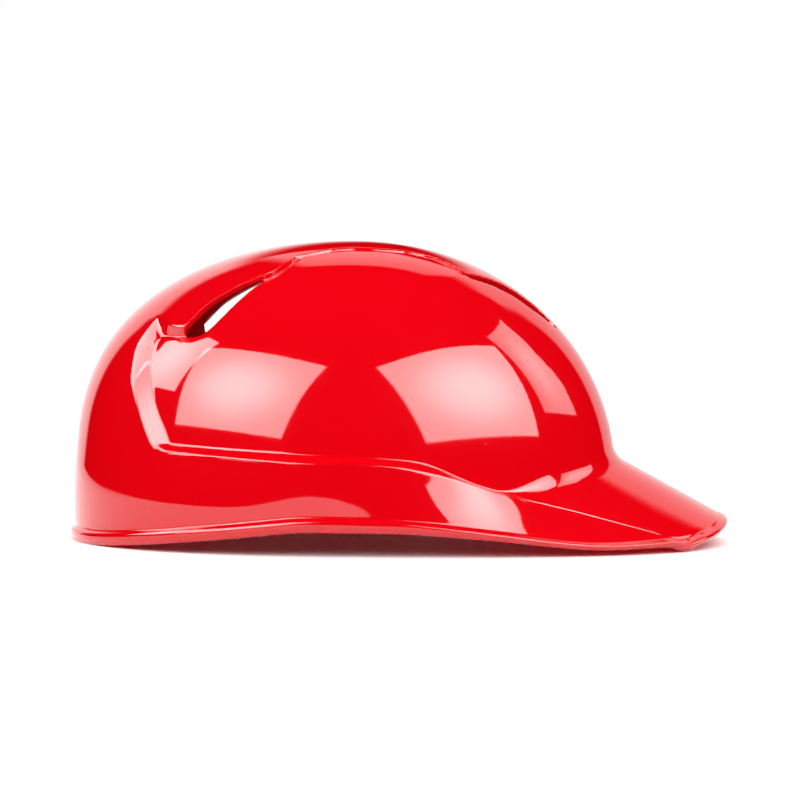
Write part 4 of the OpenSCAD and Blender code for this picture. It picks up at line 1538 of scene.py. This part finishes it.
# %% The boxes that the gloss mirrors, and the soft lamps that give the light
# Each row holds a name, the azimuth and elevation, the distance, the half width and half
# height in degrees, the radiance, and for a box the brighter core and the turn.
MIRRORED_BOXES = (("left_softbox", -41, 31.6, 1.6, 22.5, 19, 10, 0.5, -2),
                  ("right_softbox", 50, 33.6, 1.6, 29, 20.8, 10, 0.5, 2),
                  ("left_corner_box", -86, 37, 1.6, 13, 13.5, 10.5, 0.25, 8),
                  ("right_corner_box", 105, 33, 1.6, 11, 16.5, 4.0, 0.4, -15))
SOFT_LAMPS = (("left_soft", -45, 30, 1.8, 30, 22, 0.92),
              ("right_soft", 45, 30, 1.8, 30, 22, 0.92),
              ("top_soft", 180, 75, 1.8, 30, 30, 0.6))

for row in MIRRORED_BOXES:
    area_lamp(*row).visible_diffuse = False
for row in SOFT_LAMPS:
    area_lamp(*row).visible_glossy = False
print("lamps:", [lamp.name for lamp in bpy.data.lights])

# %% [markdown]
# The world is white for the camera. For mirrored rays it is the backdrop: pale behind
# the cap and dark elsewhere. For all other rays it is a soft fill that fades out towards
# the floor. One white backdrop for all of them would be simpler, but it would wash the
# red out.

# %% The world
FILL, LOW_FILL = 0.8, 0.02          # from above, and from near the floor
SLANT, STEEP = 0.47, 0.75           # how far a sheet's slanted sides lean for each unit of height


def build_world():
    world = bpy.data.worlds.new("studio")
    bpy.context.scene.world = world
    world.use_nodes = True
    tree = world.node_tree
    background = tree.nodes["Background"]
    background.inputs["Color"].default_value = (1, 1, 1, 1)
    coords = tree.nodes.new("ShaderNodeTexCoord")
    split = tree.nodes.new("ShaderNodeSeparateXYZ")
    tree.links.new(coords.outputs["Generated"], split.inputs[0])
    x, y, z = split.outputs
    across = math_node(tree, "DIVIDE", x, math_node(tree, "MAXIMUM", y, 0.001))
    slanted = math_node(tree, "ADD", across, math_node(tree, "MULTIPLY", z, SLANT))
    leaning = math_node(tree, "ADD", across, math_node(tree, "MULTIPLY", z, STEEP))
    opposite = math_node(tree, "SUBTRACT", across, math_node(tree, "MULTIPLY", z, STEEP))

    def patch(left, right, low, high, strength, soft_x, soft_z, left_line=None, right_line=None):
        """A pale sheet behind the cap. Its sides are places across, or on a slanted line."""
        parts = [map_range(tree, left_line or across, left - soft_x, left + soft_x, 0.0, 1.0),
                 map_range(tree, right_line or across, right - soft_x, right + soft_x, 1.0, 0.0),
                 map_range(tree, z, low - soft_z, low + soft_z, 0.0, 1.0),
                 map_range(tree, z, high - soft_z, high + soft_z, 1.0, 0.0)]
        product = map_range(tree, y, 0.0, 0.08, 0.0, strength)
        for part in parts:
            product = math_node(tree, "MULTIPLY", product, part)
        return product

    wall = math_node(tree, "MAXIMUM", patch(-0.95, 0.16, -1.0, 0.6, 1.5, 0.08, 0.04, None, leaning),
                     patch(-0.1, 1.06, -1.0, 0.68, 1.0, 0.06, 0.06, opposite, slanted))
    wall = math_node(tree, "MAXIMUM", wall, patch(-0.21, 0.45, 0.55, 0.82, 1.1, 0.05, 0.015))
    wall = math_node(tree, "MAXIMUM", wall, patch(-0.5, 0.5, -1.0, 0.2, 0.62, 0.1, 0.05))
    path = tree.nodes.new("ShaderNodeLightPath")
    seen = math_node(tree, "MAXIMUM", path.outputs["Is Camera Ray"], path.outputs["Is Transmission Ray"])
    gloss = math_node(tree, "MULTIPLY", path.outputs["Is Glossy Ray"], wall)
    sky = map_range(tree, z, 0.05, 0.4, LOW_FILL, FILL)
    fill = math_node(tree, "MULTIPLY", math_node(tree, "SUBTRACT", 1, path.outputs["Is Glossy Ray"]), sky)
    dim = math_node(tree, "ADD", gloss, fill)
    strength = math_node(tree, "MAXIMUM", dim, seen)
    tree.links.new(strength, background.inputs["Strength"])
    return len(tree.nodes)


print("nodes of the world:", build_world())

# %% [markdown]
# The floor is one large pale sheet. Its colour is paler for the camera than for the
# light that it throws back, so it looks white and still carries the cap's shadow. In
# the gloss it is a bright table with an edge. From below it is clear, so that the cap's
# underside can be looked at too.

# %% The floor
FLOOR_HALF = 60                     # metres
PALE, PALER_SEEN, MIRRORED = 0.75, 0.8, 2.0    # thrown back, added for the camera, and in the gloss
TABLE_EDGE = (-0.56, -0.5)          # in the gloss the floor ends in front of the cap, as a table does


def build_floor():
    mesh = bpy.data.meshes.new("floor")
    corners = [(x * FLOOR_HALF, y * FLOOR_HALF, 0) for x, y in ((-1, -1), (1, -1), (1, 1), (-1, 1))]
    mesh.from_pydata(corners, [], [(0, 1, 2, 3)])
    floor = bpy.data.objects.new("floor", mesh)
    bpy.context.scene.collection.objects.link(floor)
    material = bpy.data.materials.new("pale_floor")
    material.use_nodes = True
    tree = material.node_tree
    tree.nodes.remove(tree.nodes["Principled BSDF"])
    diffuse = tree.nodes.new("ShaderNodeBsdfDiffuse")
    path = tree.nodes.new("ShaderNodeLightPath")
    seen = math_node(tree, "MULTIPLY", path.outputs["Is Camera Ray"], PALER_SEEN)
    pale = math_node(tree, "ADD", PALE, seen)
    place = tree.nodes.new("ShaderNodeNewGeometry")
    split = tree.nodes.new("ShaderNodeSeparateXYZ")
    tree.links.new(place.outputs["Position"], split.inputs[0])
    table = map_range(tree, split.outputs["Y"], *TABLE_EDGE, -PALE, MIRRORED - PALE)
    pale = math_node(tree, "ADD", pale, math_node(tree, "MULTIPLY", path.outputs["Is Glossy Ray"], table))
    colour = tree.nodes.new("ShaderNodeCombineColor")
    for name in ("Red", "Green", "Blue"):
        tree.links.new(pale, colour.inputs[name])
    tree.links.new(colour.outputs["Color"], diffuse.inputs["Color"])
    clear = tree.nodes.new("ShaderNodeBsdfTransparent")
    below = tree.nodes.new("ShaderNodeMixShader")
    tree.links.new(place.outputs["Backfacing"], below.inputs["Fac"])
    tree.links.new(diffuse.outputs["BSDF"], below.inputs[1])
    tree.links.new(clear.outputs["BSDF"], below.inputs[2])
    tree.links.new(below.outputs["Shader"], tree.nodes["Material Output"].inputs["Surface"])
    mesh.materials.append(material)
    return floor


print("floor:", build_floor().name, 2 * FLOOR_HALF, "m wide")
bpy.context.scene.view_settings.view_transform = "Standard"
